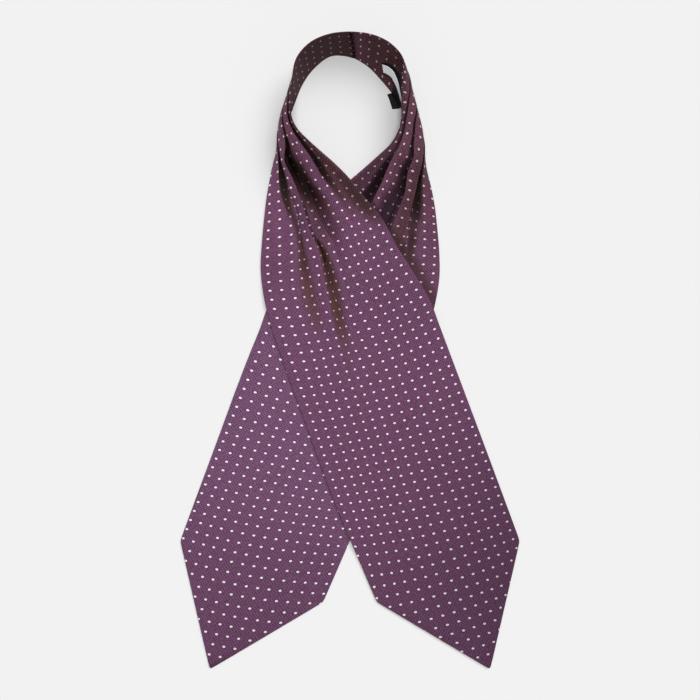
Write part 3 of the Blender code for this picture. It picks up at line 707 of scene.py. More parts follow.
class Finish:
    """A material that is built up node by node."""

    def __init__(self, name):
        self.material = bpy.data.materials.new(name)
        self.material.use_nodes = True
        self.tree = self.material.node_tree
        self.shader = self.tree.nodes["Principled BSDF"]

    def node(self, kind, settings=None, sockets=None):
        """Add a node, set it up, and then give its sockets their values or links."""
        added = self.tree.nodes.new(kind)
        for name, value in (settings or {}).items():
            setattr(added, name, value)
        for key, value in (sockets or {}).items():
            self.feed(added.inputs[key], value)
        return added

    def feed(self, socket, value):
        """Link a socket to another, or set its value."""
        if isinstance(value, Number):
            value = value.socket
        if isinstance(value, bpy.types.NodeSocket):
            self.tree.links.new(value, socket)
        else:
            socket.default_value = value

    def maths(self, operation, *values):
        """A Math node on one, two or three numbers."""
        added = self.node("ShaderNodeMath", {"operation": operation}, dict(enumerate(values)))
        return Number(self, added.outputs[0])

    def ramp(self, value, start, end):
        """0 where value is start, 1 where it is end, and smooth between them."""
        sockets = {"Value": value, "From Min": start, "From Max": end}
        added = self.node("ShaderNodeMapRange", {"interpolation_type": "SMOOTHSTEP"}, sockets)
        return Number(self, added.outputs["Result"])

    def blend(self, share, first, second):
        """The first colour where share is 0, the second where it is 1."""
        sockets = {0: share, 6: first, 7: second}
        return self.node("ShaderNodeMix", {"data_type": "RGBA"}, sockets).outputs[2]

    def dim(self, colour, factor):
        """A colour times a number."""
        sockets = {0: colour, "Scale": factor}
        return self.node("ShaderNodeVectorMath", {"operation": "SCALE"}, sockets).outputs[0]

    def noise(self, vector, scale, detail=2.0):
        """Noise about 0, between about -0.5 and 0.5."""
        sockets = {"Vector": vector, "Scale": scale, "Detail": detail}
        added = self.node("ShaderNodeTexNoise", {}, sockets)
        return Number(self, added.outputs["Fac"]) - 0.5

    def split(self, vector):
        """The x and y of a vector."""
        added = self.node("ShaderNodeSeparateXYZ", {}, {0: vector})
        return Number(self, added.outputs[0]), Number(self, added.outputs[1])

    def waves(self, distance, pitch):
        """A sine that repeats every pitch."""
        return self.maths("SINE", distance * (2 * math.pi / pitch))

    def attribute(self, name):
        """A value that the mesh holds at its points."""
        added = self.node("ShaderNodeAttribute", {"attribute_name": name})
        return Number(self, added.outputs["Fac"])

    def surface(self, colour, roughness, specular, relief=None, strength=0.0):
        """Set the shader's colour, roughness and gloss, with the relief as a bump."""
        inputs = self.shader.inputs
        self.feed(inputs["Base Color"], colour)
        self.feed(inputs["Roughness"], roughness)
        inputs["Specular IOR Level"].default_value = specular
        if relief is not None:
            sockets = {"Strength": strength, "Distance": BUMP_DEPTH, "Height": relief}
            self.feed(inputs["Normal"], self.node("ShaderNodeBump", {}, sockets).outputs[0])
        return self.material


def rgba(colour):
    """A colour with full opacity."""
    return (*colour, 1.0)


def silk(name, sizes, colours):
    """Silk twill with woven dots.

    The UV map "cloth" counts the dots' repeats across and along the cloth, so a dot lies
    wherever both are whole numbers. The attribute "brown" turns the plum silk to its own
    brown side, or to a cooler plum below 0, painted where the folds and the light would
    show these colours. A second attribute dims it: painted shade in the folds and along the
    seam, and painted light and shade on the open silk.
    """
    finish = Finish(name)
    cloth = finish.node("ShaderNodeUVMap", {"uv_map": "cloth"}).outputs[0]
    place = finish.node("ShaderNodeTexCoord").outputs["Object"]
    brown, painted_shading = finish.attribute("brown"), finish.attribute("painted_shading")
    across, along = finish.split(cloth)
    repeat_across, _, repeat_along, _ = UPPER_DOTS
    across_mm = across * repeat_across
    along_mm = along * repeat_along

    to_dot_across = (across - finish.maths("ROUND", across)) * repeat_across
    to_dot_along = (along - finish.maths("ROUND", along)) * repeat_along
    square = (to_dot_across * to_dot_across * DOT_SQUASH[0]
              + to_dot_along * to_dot_along * DOT_SQUASH[1])
    radius = finish.maths("SQRT", square) + finish.noise(cloth, 9.0, 1.0) * DOT_RAGGED
    half_dot = sizes.dot_width / MM / 2
    dot = finish.ramp(radius, half_dot + DOT_SOFT, half_dot - DOT_SOFT)
    ring = finish.ramp(radius, half_dot + RING_REACH[0], half_dot + RING_REACH[1])

    pitch = sizes.twill_pitch / MM
    lean, rise = TWILL_SLANT
    ribs = finish.waves(across_mm * lean + along_mm * rise, pitch)
    cross_ribs = finish.waves(across_mm * rise - along_mm * lean, pitch * 1.07)
    grain = finish.noise(place, 480.0)
    patches = finish.noise(place, 60.0, 3.0)

    # The silk's own brown side and its cooler plum, painted where the folds and the light would
    # show them
    turned = finish.maths("MINIMUM", finish.maths("MAXIMUM", brown + patches * 0.5, 0.0), 1.0)
    cooled = finish.maths("MAXIMUM", brown * -1.0, 0.0)
    open_ground = finish.blend(cooled, rgba(colours.plum), rgba(colours.cool_plum))
    ground = finish.blend(turned, open_ground, rgba(colours.russet))
    weave = 1.0 + ribs * 0.30 + cross_ribs * 0.26 + grain * 1.1 + patches * 0.14
    ground = finish.dim(ground, weave * (1.0 - ring * RING_DARK))
    # Dots in the folds take the painted shaded copy of their thread
    thread = finish.blend(turned, rgba(colours.dot), rgba(colours.shaded_dot))
    # Painted shade and light: the silk dims in the folds and along the seam, and brightens or dims
    # along the open cloth
    colour = finish.dim(finish.blend(dot, ground, thread), 1.0 - painted_shading)
    roughness = 0.48 + cross_ribs * 0.04 + patches * 0.10 - dot * 0.06
    relief = ribs * 0.6 + cross_ribs * 0.4 + grain * 0.8 + dot * 1.2
    return finish.surface(colour, roughness, 0.04, relief, 0.5)


def ribbon(name, colour, rib_pitch, gloss):
    """Narrow woven ribbon: ribs across its width, fine warp threads and a denser selvedge.

    The UV map "cloth" is in millimetres, across the ribbon and along it.
    """
    finish = Finish(name)
    cloth = finish.node("ShaderNodeUVMap", {"uv_map": "cloth"}).outputs[0]
    edge = finish.attribute("selvedge")
    across, along = finish.split(cloth)
    ribs = finish.waves(along, rib_pitch)
    warp = finish.waves(across, rib_pitch * 0.8)
    wear = finish.noise(cloth, 0.35, 3.0)
    value = 1.0 + ribs * 0.06 + warp * 0.04 + wear * 0.16 - edge * 0.10
    roughness = gloss + ribs * 0.05 + wear * 0.1
    relief = ribs * 0.6 + warp * 0.3 + edge * 0.8
    return finish.surface(finish.dim(tuple(colour), value), roughness, 0.12, relief, 0.6)


def plain(name, colour, scale, mottle, roughness, specular):
    """One colour with a mottle, for the sewing thread and for the floor."""
    finish = Finish(name)
    place = finish.node("ShaderNodeTexCoord").outputs["Object"]
    value = 1.0 + finish.noise(place, scale, 1.0) * mottle
    return finish.surface(finish.dim(tuple(colour), value), roughness, specular)


def table(rows, columns):
    """Turn rows of numbers into a dictionary of named columns."""
    return dict(zip(columns, np.array(rows, float).T))


def curve_through(at, xs, ys):
    """Cubic Hermite curve through the points (xs, ys), read at the values in at."""
    slopes = np.gradient(ys, xs)
    i = np.clip(np.searchsorted(xs, at, side="right") - 1, 0, len(xs) - 2)
    step = xs[i + 1] - xs[i]
    u = np.clip((at - xs[i]) / step, 0.0, 1.0)
    start = (1 + 2 * u) * (1 - u) ** 2 * ys[i] + u * (1 - u) ** 2 * step * slopes[i]
    end = u ** 2 * (3 - 2 * u) * ys[i + 1] + u ** 2 * (u - 1) * step * slopes[i + 1]
    return start + end


def read_table(rows, columns, along):
    """Read every column of a table at the lengths along, each as a smooth curve."""
    named = table(rows, columns)
    return {name: curve_through(along, named["along"], named[name]) for name in columns[1:]}


def read_straight(rows, columns, along):
    """Read every column of a table at the lengths along, in straight lines."""
    named = table(rows, columns)
    return {name: np.interp(along, named["along"], named[name]) for name in columns[1:]}


def ease(value, start, end):
    """0 at start, 1 at end, and a smooth step between them."""
    u = np.clip((value - start) / (end - start), 0.0, 1.0)
    return u * u * (3 - 2 * u)


def unit(vectors):
    """Scale vectors, held in the last axis, to length 1."""
    return vectors / np.linalg.norm(vectors, axis=-1, keepdims=True)


def smooth_max(first, second, blend):
    """The larger of two heights, rounded off over about the length blend."""
    return (first + second + np.sqrt((first - second) ** 2 + blend ** 2)) / 2


class Half:
    """One half of the cravat: its tables and the surfaces that follow from them."""

    def __init__(self, name):
        upper = name == "upper"
        self.name = name
        self.sections = UPPER_SECTIONS if upper else LOWER_SECTIONS
        self.others = LOWER_SECTIONS if upper else UPPER_SECTIONS
        self.places = UPPER_PLACES if upper else LOWER_PLACES
        self.heights = UPPER_HEIGHTS if upper else LOWER_HEIGHTS
        self.cloth = UPPER_CLOTH if upper else LOWER_CLOTH
        self.bands = UPPER_BANDS if upper else LOWER_BANDS
        self.tacks = UPPER_TACKS if upper else LOWER_TACKS
        self.tones = UPPER_TONES if upper else LOWER_TONES
        self.creases = UPPER_CREASES if upper else LOWER_CREASES
        self.dots = dict(zip(DOT_COLUMNS, UPPER_DOTS if upper else LOWER_DOTS))
        self.inside = dict(zip(INSIDE_COLUMNS, UPPER_INSIDE if upper else LOWER_INSIDE))
        self.rows = UPPER_ROWS if upper else LOWER_ROWS
        self.mirror = 1.0 if upper else -1.0

    def spine(self, along):
        """Neck edge, chord to the outer edge, section normal, run and bow at each length.

        The other half's second row comes first, mirrored, so that the edges run smoothly
        across the seam at the centre back. Past the corners the blade goes straight on.
        """
        rows = table(self.sections, SECTION_COLUMNS)
        other = table(self.others, SECTION_COLUMNS)
        turned = {"along": -1, "neck_x": -1, "outer_x": -1}
        ends = {name: np.insert(column, 0, other[name][1] * turned.get(name, 1))
                for name, column in rows.items()}

        def at(lengths):
            read = {name: curve_through(lengths, ends["along"], ends[name])
                    for name in SECTION_COLUMNS[1:]}
            neck = np.stack([read["neck_x"], read["neck_y"], np.maximum(read["neck_z"], 0.0)], -1)
            outer = np.stack([read["outer_x"], read["outer_y"], np.zeros_like(lengths)], -1)
            return neck, outer, np.maximum(read["bow"], 0.0)

        inside = np.minimum(along, CORNER_ALONG)
        neck, outer, bow = at(inside)
        ahead, behind = at(np.minimum(inside + 1.0, CORNER_ALONG)), at(inside - 1.0)
        run = (ahead[0] + ahead[1]) - (behind[0] + behind[1])
        run[along <= 0.0, 1:] = 0.0
        chord = outer - neck
        level = along >= CORNER_ALONG
        run[level] = np.cross((0.0, 0.0, 1.0), chord[level])
        run = unit(run)
        normal = unit(np.cross(chord, run))
        return neck, chord, normal, run, bow

    def lay(self, along, share):
        """Points of the half's underside at shares of its width, on rows at lengths along.

        point = neck + share * chord + bow * 4 * share * (1 - share) * normal, and past the
        corners the row moves on in the direction of the blade.
        """
        neck, chord, normal, run, bow = self.spine(along)
        past = np.maximum(along - CORNER_ALONG, 0.0)[:, None, None]
        points = neck[:, None] + share[..., None] * chord[:, None] + past * run[:, None]
        bulge = bow[:, None] * 4 * share * (1 - share)
        return points + bulge[..., None] * normal[:, None], normal[:, None]

    def folds(self, along):
        """Shares, heights and cloth lines of the folds at each length, one column a fold."""
        shares = read_table(self.places, PLACE_COLUMNS, along)
        heights = read_table(self.heights, HEIGHT_COLUMNS, along)
        cloth = read_table(self.cloth, CLOTH_COLUMNS, along)
        nought, one = np.zeros_like(along), np.ones_like(along)
        shares.update(neck=nought, outer=one)
        heights.update(neck=nought, outer=nought)
        return tuple(np.stack([read[name] for name in FOLD_LINES], axis=1)
                     for read in (shares, heights, cloth))

    def count_dots(self, lines, lengths):
        """Lines and lengths of the cloth, counted in the repeats of its dots."""
        dots = self.dots
        return np.stack([(lines - dots["first_across"]) / dots["pitch_across"],
                         (lengths - dots["first_along"]) / dots["pitch_along"]], axis=-1)


def rows_along():
    """Lengths along the cloth of the grid's rows, closest together where it folds."""
    end = CORNER_ALONG + TIP_LENGTH
    return np.concatenate([
        np.arange(0.0, 12.0, 0.8), np.arange(12.0, 116.0, 2.5), np.arange(116.0, 300.0, 2.0),
        np.arange(300.0, 596.0, 4.0), np.arange(596.0, 612.0, 1.0),
        np.arange(612.0, end - 6.0, 2.5),
        end - np.array([6.0, 4.0, 2.6, 1.6, 1.0, 0.6, 0.35, 0.2])])


SEGMENT_COLUMNS = (12, 8, 14, 12, 10, 14, 6, 10, 20)
EDGE_COLUMNS = (0.0, 0.06, 0.2, 0.42, 0.75, 1.2, 1.8)


def columns_across(shares, width):
    """Place of the grid's columns on each row, counted in folds from the neck edge.

    A place of 3.5 lies halfway between the fourth and the fifth fold line. The columns are
    closest together at the folds, and the first and last few keep a fixed distance in
    millimetres from the edge, so that the turned edge is round.
    """
    places = []
    last = len(SEGMENT_COLUMNS) - 1
    for k, count in enumerate(SEGMENT_COLUMNS):
        u = np.arange(count) / count
        u = np.tile(u - 0.10 * np.sin(2 * np.pi * u), (len(width), 1))
        length = (shares[:, k + 1] - shares[:, k])[:, None] * width[:, None]
        near = np.array(EDGE_COLUMNS) * np.minimum(1.0, 0.25 * width[:, None] / EDGE_COLUMNS[-1])
        near = np.minimum(near / np.maximum(length, 1e-6), 0.9 * near / near[:, -1:])
        if k == 0:
            first = near[:, -1:]
            u = np.concatenate([near[:, :-1], first + (1 - first) * u], axis=1)
        if k == last:
            first = near[:, -1:]
            u = np.concatenate([(1 - first) * u, (1 - near)[:, ::-1]], axis=1)
        places.append(k + u)
    return np.concatenate(places, axis=1)


def along_folds(values, place):
    """Read a value that is given at the folds, in straight lines between them."""
    k = np.clip(place.astype(int), 0, values.shape[1] - 2)
    u = place - k
    first = np.take_along_axis(values, k, axis=1)
    return first + u * (np.take_along_axis(values, k + 1, axis=1) - first)


def rounded_profile(across, high, cloth, place, valley_round, ridge_round):
    """The section from fold to fold and the cloth lines on it, with each fold rounded off.

    Between the folds the section is straight. Within a rounding length of a fold it is
    the parabola that leaves one straight and joins the next: (1-u)^2 start + 2u(1-u) fold
    + u^2 end. It takes up at most half of a straight, or 0.3 of one that runs back under
    its pleat.
    """
    x, z, line = (along_folds(values, place) for values in (across, high, cloth))
    lengths = np.hypot(np.diff(across, axis=1), np.diff(high, axis=1)) + 1e-6
    for k in range(1, across.shape[1] - 1):
        around = valley_round if "valley" in FOLD_LINES[k] else ridge_round
        limits = np.where(np.diff(across, axis=1) < 0, 0.3, 0.5)
        before = np.minimum(around / lengths[:, k - 1], limits[:, k - 1])[:, None]
        after = np.minimum(around / lengths[:, k], limits[:, k])[:, None]
        u = np.clip((place - k + before) / (before + after), 0.0, 1.0)
        near = (place > k - before) & (place < k + after)
        for curved, values in ((x, across), (z, high), (line, cloth)):
            fold = values[:, k:k + 1]
            start = fold + before * (values[:, k - 1:k] - fold)
            end = fold + after * (values[:, k + 1:k + 2] - fold)
            curve = (1 - u) ** 2 * start + 2 * u * (1 - u) * fold + u ** 2 * end
            curved[near] = curve[near]
    return x, z, line


def tip_width(along):
    """Width of the blade as a share of the full width: 1 up to the corners, 0 at the point.

    Towards the point it is sqrt(left^2 + 2 * TIP_ROUND * left), which rounds the point off,
    and the corners are rounded by a smooth minimum with 1.
    """
    left = np.maximum(CORNER_ALONG + TIP_LENGTH - along, 0.0)
    full = math.sqrt(TIP_LENGTH ** 2 + 2 * TIP_ROUND * TIP_LENGTH)
    taper = np.sqrt(left ** 2 + 2 * TIP_ROUND * left) / full
    return (1 + taper - np.sqrt((1 - taper) ** 2 + CORNER_ROUND ** 2)) / 2


def narrowed(share, along):
    """Draw the shares past the corners in towards the point."""
    return 0.5 + (share - 0.5) * tip_width(along)[:, None]


def crease_heights(creases, along, share, width):
    """Soft creases: each rises along its line as a sine from end to end and falls off
    across it as exp(-(distance / wide)^2)."""
    total = np.zeros_like(share)
    for row in creases:
        crease = dict(zip(CREASE_COLUMNS, row))
        u = np.clip((along - crease["start"]) / (crease["end"] - crease["start"]), 0.0, 1.0)
        line = crease["share_start"] + u * (crease["share_end"] - crease["share_start"])
        line = line + 0.012 * np.sin(9 * u + 40 * crease["share_start"])
        distance = (share - line[:, None]) * width[:, None] / crease["wide"]
        total += crease["rise"] * (np.sin(np.pi * u) ** 2)[:, None] * np.exp(-distance ** 2)
    return total


def fold_shade(half, along, share, place, width):
    """Painted shade of the silk: how brown it is and how deep its shade, 0 where it lies
    open, 1 in the deepest folds. The brown is the silk's own brown side, painted where the
    folds turn it from the light.

    A band's strength is exp(-|distance / reach|^3) times the one in its row, with a reach
    of its own towards the neck edge and towards the outer edge, and ends at its two fold
    lines where it is cut. Brown is 1 - (1 - strength)^1.7 and dark 1 - (1 - strength)^1.6.
    Of several bands the strongest counts. The bands lie over the painted light and shade of
    the open silk, which is brighter than the silk's own colour where the tone's shading is
    below 0.
    """
    tone = read_table(half.tones, TONE_COLUMNS, along)
    open_brown = np.broadcast_to(tone["brown"][:, None], share.shape)
    brown = np.zeros(share.shape)
    # Painted light and shade of the open silk, along the half and towards its outer edge
    open_painted_shading = tone["painted_shading"][:, None] + tone["lean"][:, None] * (share - 0.5)
    painted_shading = np.zeros(share.shape)
    for first, last, rows in half.bands:
        read = {name: column[:, None]
                for name, column in read_table(rows, BAND_COLUMNS, along).items()}
        distance = (share - read["share"]) * width[:, None]
        reach = np.where(distance < 0, read["near"], read["far"])
        shade = np.exp(-np.abs(distance / reach) ** 3)
        outside = (place < FOLD_LINES.index(first)) | (place > FOLD_LINES.index(last))
        shade = shade * (1 - np.clip(read["cut"], 0, 1) * outside)
        brown = np.maximum(brown, 1 - (1 - np.clip(shade * read["brown"], 0, 1)) ** 1.7)
        painted_shading = np.maximum(painted_shading, 1 - (1 - np.clip(shade * read["painted_shading"], 0, 1)) ** 1.6)
    brown = np.maximum(brown, open_brown) + (1 - brown) * np.minimum(open_brown, 0)
    return brown, painted_shading + (1 - painted_shading) * open_painted_shading


class HeightMap:
    """The top of a laid piece as a map of heights over the table, soft at its edges."""

    CELL = 2.0
    SPREAD = 4
    LOW = np.array([-190.0, -340.0])
    COUNT = (190, 330)

    def __init__(self, points):
        index = np.clip(((points[:, :2] - self.LOW) / self.CELL).astype(int), 0,
                        np.array(self.COUNT) - 1)
        heights = np.zeros(self.COUNT)
        np.maximum.at(heights, (index[:, 0], index[:, 1]), points[:, 2])
        for axis in (0, 1):
            shifts = range(-self.SPREAD, self.SPREAD + 1)
            heights = np.max([np.roll(heights, shift, axis) for shift in shifts], axis=0)
        reach = np.arange(-9, 10)
        weights = np.exp(-(reach / 3.0) ** 2 / 2)
        weights /= weights.sum()
        for axis in (0, 1):
            heights = sum(weight * np.roll(heights, shift, axis)
                          for weight, shift in zip(weights, reach))
        self.heights = heights

    def read(self, points):
        """Heights under the points, straight between the middles of the cells."""
        place = np.clip((points[..., :2] - self.LOW) / self.CELL - 0.5, 0,
                        np.array(self.COUNT) - 1.001)
        i = place.astype(int)
        u, v = np.moveaxis(place - i, -1, 0)
        x, y = i[..., 0], i[..., 1]
        low = self.heights[x, y] * (1 - u) + self.heights[x + 1, y] * u
        high = self.heights[x, y + 1] * (1 - u) + self.heights[x + 1, y + 1] * u
        return low * (1 - v) + high * v


def layer_profile(lines, high, cloth, place, along, full_width):
    """Shares, heights and cloth lines on a layer's grid, from those of its folds."""
    rounding = read_straight(ROUNDING, ROUNDING_COLUMNS, along)
    x, z, line = rounded_profile(lines * full_width[:, None], high, cloth, place,
                                 rounding["valley"], rounding["ridge"])
    return x / full_width[:, None], z, line


def without_pleats(shares):
    """Fold lines of the layers under the face, where no valley runs on under its pleat."""
    flat = shares.copy()
    for valley, ridge in PLEATS:
        valley_share = np.maximum(shares[:, valley], flat[:, valley - 1] + 0.01)
        flat[:, valley] = np.minimum(valley_share, shares[:, ridge] - 0.012)
    return flat


def edge_distance(shares, place, along, width):
    """Distance from the nearest edge of the panel, 0 all along its border."""
    share = along_folds(shares, place)
    across = np.minimum(share * width[:, None], (1 - share) * width[:, None])
    ends = np.minimum(along, CORNER_ALONG + TIP_LENGTH - along)[:, None]
    distance = np.minimum(across, ends)
    distance[:, [0, -1]] = 0.0
    distance[[0, -1]] = 0.0
    return distance


def turned_edge(distance, width):
    """How full a sheet is near its edge: sqrt(1 - (1 - d)^2), where d runs from 0 on the
    edge to 1 at the turned edge's width, so that the edge is round and closed."""
    return np.sqrt(1 - (1 - np.minimum(distance / width, 1.0)) ** 2)[..., None]


def face_loft(half, along, share, place, width):
    """How far the face stands off its lay: soft creases, a puff and a slow wave."""
    loft = crease_heights(half.creases, along, share, width)
    strips = 4 * (place % 1.0) * (1 - place % 1.0)
    puff = read_straight(PUFF, PUFF_COLUMNS, along)["puff"][:, None]
    loft += strips * puff * (1 - ease(np.abs(place - PUFF_MIDDLE), *PUFF_REACH))
    wave = 0.25 * (1 + np.sin(along[:, None] / 23.0 + 5 * share))
    return loft + wave * ease(along, *PLEATS_OPEN)[:, None]


def seam_pucker(along, across):
    """Puckers at the centre-back seam: waves across it that die away from it."""
    waves = sum(size * np.sin(2 * np.pi * across / pitch + turn * along[:, None])
                for pitch, size, turn in PUCKER_WAVES)
    return np.exp(-along / 4.5)[:, None] * waves


def face_repeats(half, along, share, cloth_line, shares, cloth):
    """Lines and lengths of the cloth on the face, for its dots.

    The length runs ahead, slants and bows over the width. The blade's point is cut out of
    the full width, so there the lines are read at the shares drawn in towards it.
    """
    narrow = narrowed(share, along)
    blade = along > BLADE_ALONG
    line = cloth_line.copy()
    line[blade] = [np.interp(*row) for row in zip(narrow[blade], shares[blade], cloth[blade])]
    rows = {name: column[:, None]
            for name, column in read_table(half.rows, ROW_COLUMNS, along).items()}
    off_middle = narrow - 0.5
    bend = rows["slant"] * off_middle + rows["bow"] * off_middle ** 2
    return half.count_dots(line, along[:, None] + rows["ahead"] + bend)


def inside_shade(half, along, seam):
    """How brown the back panel is and how deep its painted shade, most of all inside the
    neckband and along the seam; the brown is the silk's own brown side, painted where it
    turns from the light.
    """
    middle, reach = PLUM_PATCH
    plum = half.inside["plum_patch"] * np.exp(-((along - middle) / reach) ** 2)
    brown = 0.8 * (1 - ease(along, 150.0, 230.0)) * (1 - plum)
    brown = np.broadcast_to(brown[:, None], seam.shape)
    return {"brown": brown, "painted_shading": np.maximum(0.9 * seam, half.inside["inside_painted_shade"] * brown)}


def half_layers(half, sizes, support=None):
    """The four surfaces of a half, its cloth lines and its painted shade, as grids.

    Every layer is the lay of the half, with its folds, moved along the section's normal.
    The neckband's pleats belong to the face alone. Past the tacks all the layers fold.
    """
    thick = sizes.panel_thickness / MM
    along = rows_along()
    shares, heights, cloth = half.folds(along)
    chord, normal = half.spine(along)[1:3]
    full_width = np.linalg.norm(chord, axis=1)
    width = full_width * tip_width(along)
    place = columns_across(shares, width)
    face_share, face_high, face_cloth = layer_profile(
        shares, heights, cloth, place, along, full_width)
    base_share, base_high, _ = layer_profile(
        without_pleats(shares), heights * ease(along, *PLEATS_OPEN)[:, None], cloth, place,
        along, full_width)

    def laid(share, high):
        points, normals = half.lay(along, narrowed(share, along))
        if support is not None:
            lifted = smooth_max(points[..., 2], support.read(points) + 0.15, 0.8)
            open_cloth = ease(along, 126.0, 150.0)[:, None]
            points[..., 2] += open_cloth * (lifted - points[..., 2])
        return points + high[..., None] * normals

    base = laid(base_share, base_high)
    face = laid(face_share, face_high)
    n = normal[:, None]
    from_edge = edge_distance(shares, place, along, width)
    full = turned_edge(from_edge, sizes.edge_round / MM)
    allowance = 1 + 0.22 * np.exp(-((from_edge - 3.5) / 2.5) ** 2)[..., None] * full
    across = base_share * full_width[:, None]
    loft = face_loft(half, along, base_share, place, width) * ease(from_edge, 0.0, 9.0)
    pucker = (seam_pucker(along, across) * ease(from_edge, 0.0, 1.5))[..., None]

    back_middle = base + (thick / 2) * n
    face_middle = base + (1.5 * thick + sizes.seam_gap / MM + loft[..., None]) * n
    layers = {
        "back_inner": back_middle + (0.6 * pucker - thick / 2 * full) * n,
        "back_outer": back_middle + (thick / 2 * full) * n,
        "face_inner": face_middle - (thick / 2 * full) * n,
        "face_outer": (face_middle + (face - base) * full
                       + (thick / 2 * full * allowance + 0.35 * pucker) * n),
    }
    seam_shift = half.mirror * np.exp(-along / 22.0)[:, None] * (1.2 + 4.0 * base_share)
    for layer in layers.values():
        layer[..., 2] = np.maximum(layer[..., 2], 0.0)
        layer[0, :, 0] = np.minimum(layer[0, :, 0], -0.04)
        layer[..., 0] += seam_shift

    back_line = CUT_WIDTH / 2 + (narrowed(base_share, along) - 0.5) * full_width[:, None]
    # Painted shade along the centre-back seam, ragged like its puckers
    ragged = along[:, None] + 0.7 * (np.sin(1.9 * across) + np.sin(0.83 * across + 2))
    seam = np.exp(-(ragged / half.inside["seam_reach"]) ** 2)
    brown, painted_shading = fold_shade(half, along, face_share, place, width)
    return {
        **layers, "place": place, "along": along, "normal": normal,
        "face_map": face_repeats(half, along, face_share, face_cloth, shares, cloth),
        "back_map": half.count_dots(back_line, np.broadcast_to(along[:, None], place.shape)),
        # Painted shade of the face: its fold bands, and more along the seam
        "face_shade": {"brown": brown, "painted_shading": painted_shading + (1 - painted_shading) * 0.7 * seam},
        "back_shade": inside_shade(half, along, seam),
    }


def placed(points, mirror):
    """Points of a half in millimetres as points of the frame in metres."""
    return (points * (mirror, 1.0, 1.0) + (0.0, TABLE_CENTRE_Y, 0.0)) * MM


def add_object(name, points, faces, finish):
    """Make a smooth mesh with one material and put it in the scene."""
    mesh = bpy.data.meshes.new(name)
    mesh.from_pydata(points, [], faces)
    mesh.materials.append(finish)
    mesh.shade_smooth()
    mesh.update()
    made = bpy.data.objects.new(name, mesh)
    bpy.context.scene.collection.objects.link(made)
    return made


def closed_sheet(name, inner, outer, maps, shades, mirror, finish):
    """Make one closed sheet from two grids of points that share their border.

    The outer grid is whole. The inner grid's border points are the outer one's, so the
    sheet has no wall. maps and shades hold the inner grid's values, then the outer one's.
    """
    rows, columns = outer.shape[:2]
    outer_index = np.arange(rows * columns).reshape(rows, columns)
    inner_index = outer_index.copy()
    count = (rows - 2) * (columns - 2)
    inner_index[1:-1, 1:-1] = rows * columns + np.arange(count).reshape(rows - 2, columns - 2)
    points = np.concatenate([outer.reshape(-1, 3), inner[1:-1, 1:-1].reshape(-1, 3)])
    points = placed(points, mirror)

    def quads(index):
        corners = index[:-1, :-1], index[1:, :-1], index[1:, 1:], index[:-1, 1:]
        return np.stack(corners, -1).reshape(-1, 4)

    outer_faces, inner_faces = quads(outer_index), quads(inner_index)
    corner, second, opposite = (points[outer_faces[:, k]] for k in range(3))
    side = np.cross(second - corner, opposite - corner)
    outward = np.sum(side * (corner - points[inner_faces[:, 0]])) > 0
    order = (0, 1, 2, 3) if outward else (3, 2, 1, 0)
    outer_grid, inner_grid = outer_faces[:, order], outer_faces[:, order[::-1]]
    faces = np.concatenate([outer_grid, inner_faces[:, order[::-1]]])

    piece = add_object(name, points, faces, finish)
    mesh = piece.data
    inner_map, outer_map = (values.reshape(-1, 2) for values in maps)
    cloth = np.concatenate([outer_map[outer_grid.ravel()], inner_map[inner_grid.ravel()]])
    mesh.uv_layers.new(name="cloth").data.foreach_set("uv", cloth.ravel())
    i, j = np.divmod(np.arange(rows * columns), columns)
    flat = np.stack([j / (columns - 1) * 0.47 + 0.015, i / (rows - 1) * 0.97 + 0.015], axis=-1)
    sheet = np.concatenate([flat[outer_grid.ravel()], flat[inner_grid.ravel()] + (0.5, 0.0)])
    mesh.uv_layers.new(name="OFBake").data.foreach_set("uv", sheet.ravel())
    inner_shades, outer_shades = shades
    for key, shade in outer_shades.items():
        values = np.concatenate([shade.ravel(), inner_shades[key][1:-1, 1:-1].ravel()])
        mesh.attributes.new(key, "FLOAT", "POINT").data.foreach_set("value", values)
    return piece


def stands_for(piece, node):
    """Put a piece in its node's place, on the frame's one body."""
    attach(piece, "root")
    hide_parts(node)


def on_wall(half, along, share):
    """Points on the inside of the neckband and their normals. It is taken as straight
    from its neck edge to its outer edge, and past that the points lie on the table."""
    neck, chord, normal = half.spine(along)[:3]
    inside = np.minimum(share, 1.0)[:, None]
    past = np.maximum(share - 1.0, 0.0)[:, None]
    level = unit(normal * (-1.0, -1.0, 0.0))
    points = neck + inside * chord + past * WALL_HEIGHT * level
    return points, np.where(past > 0, (0.0, 0.0, -1.0), normal)


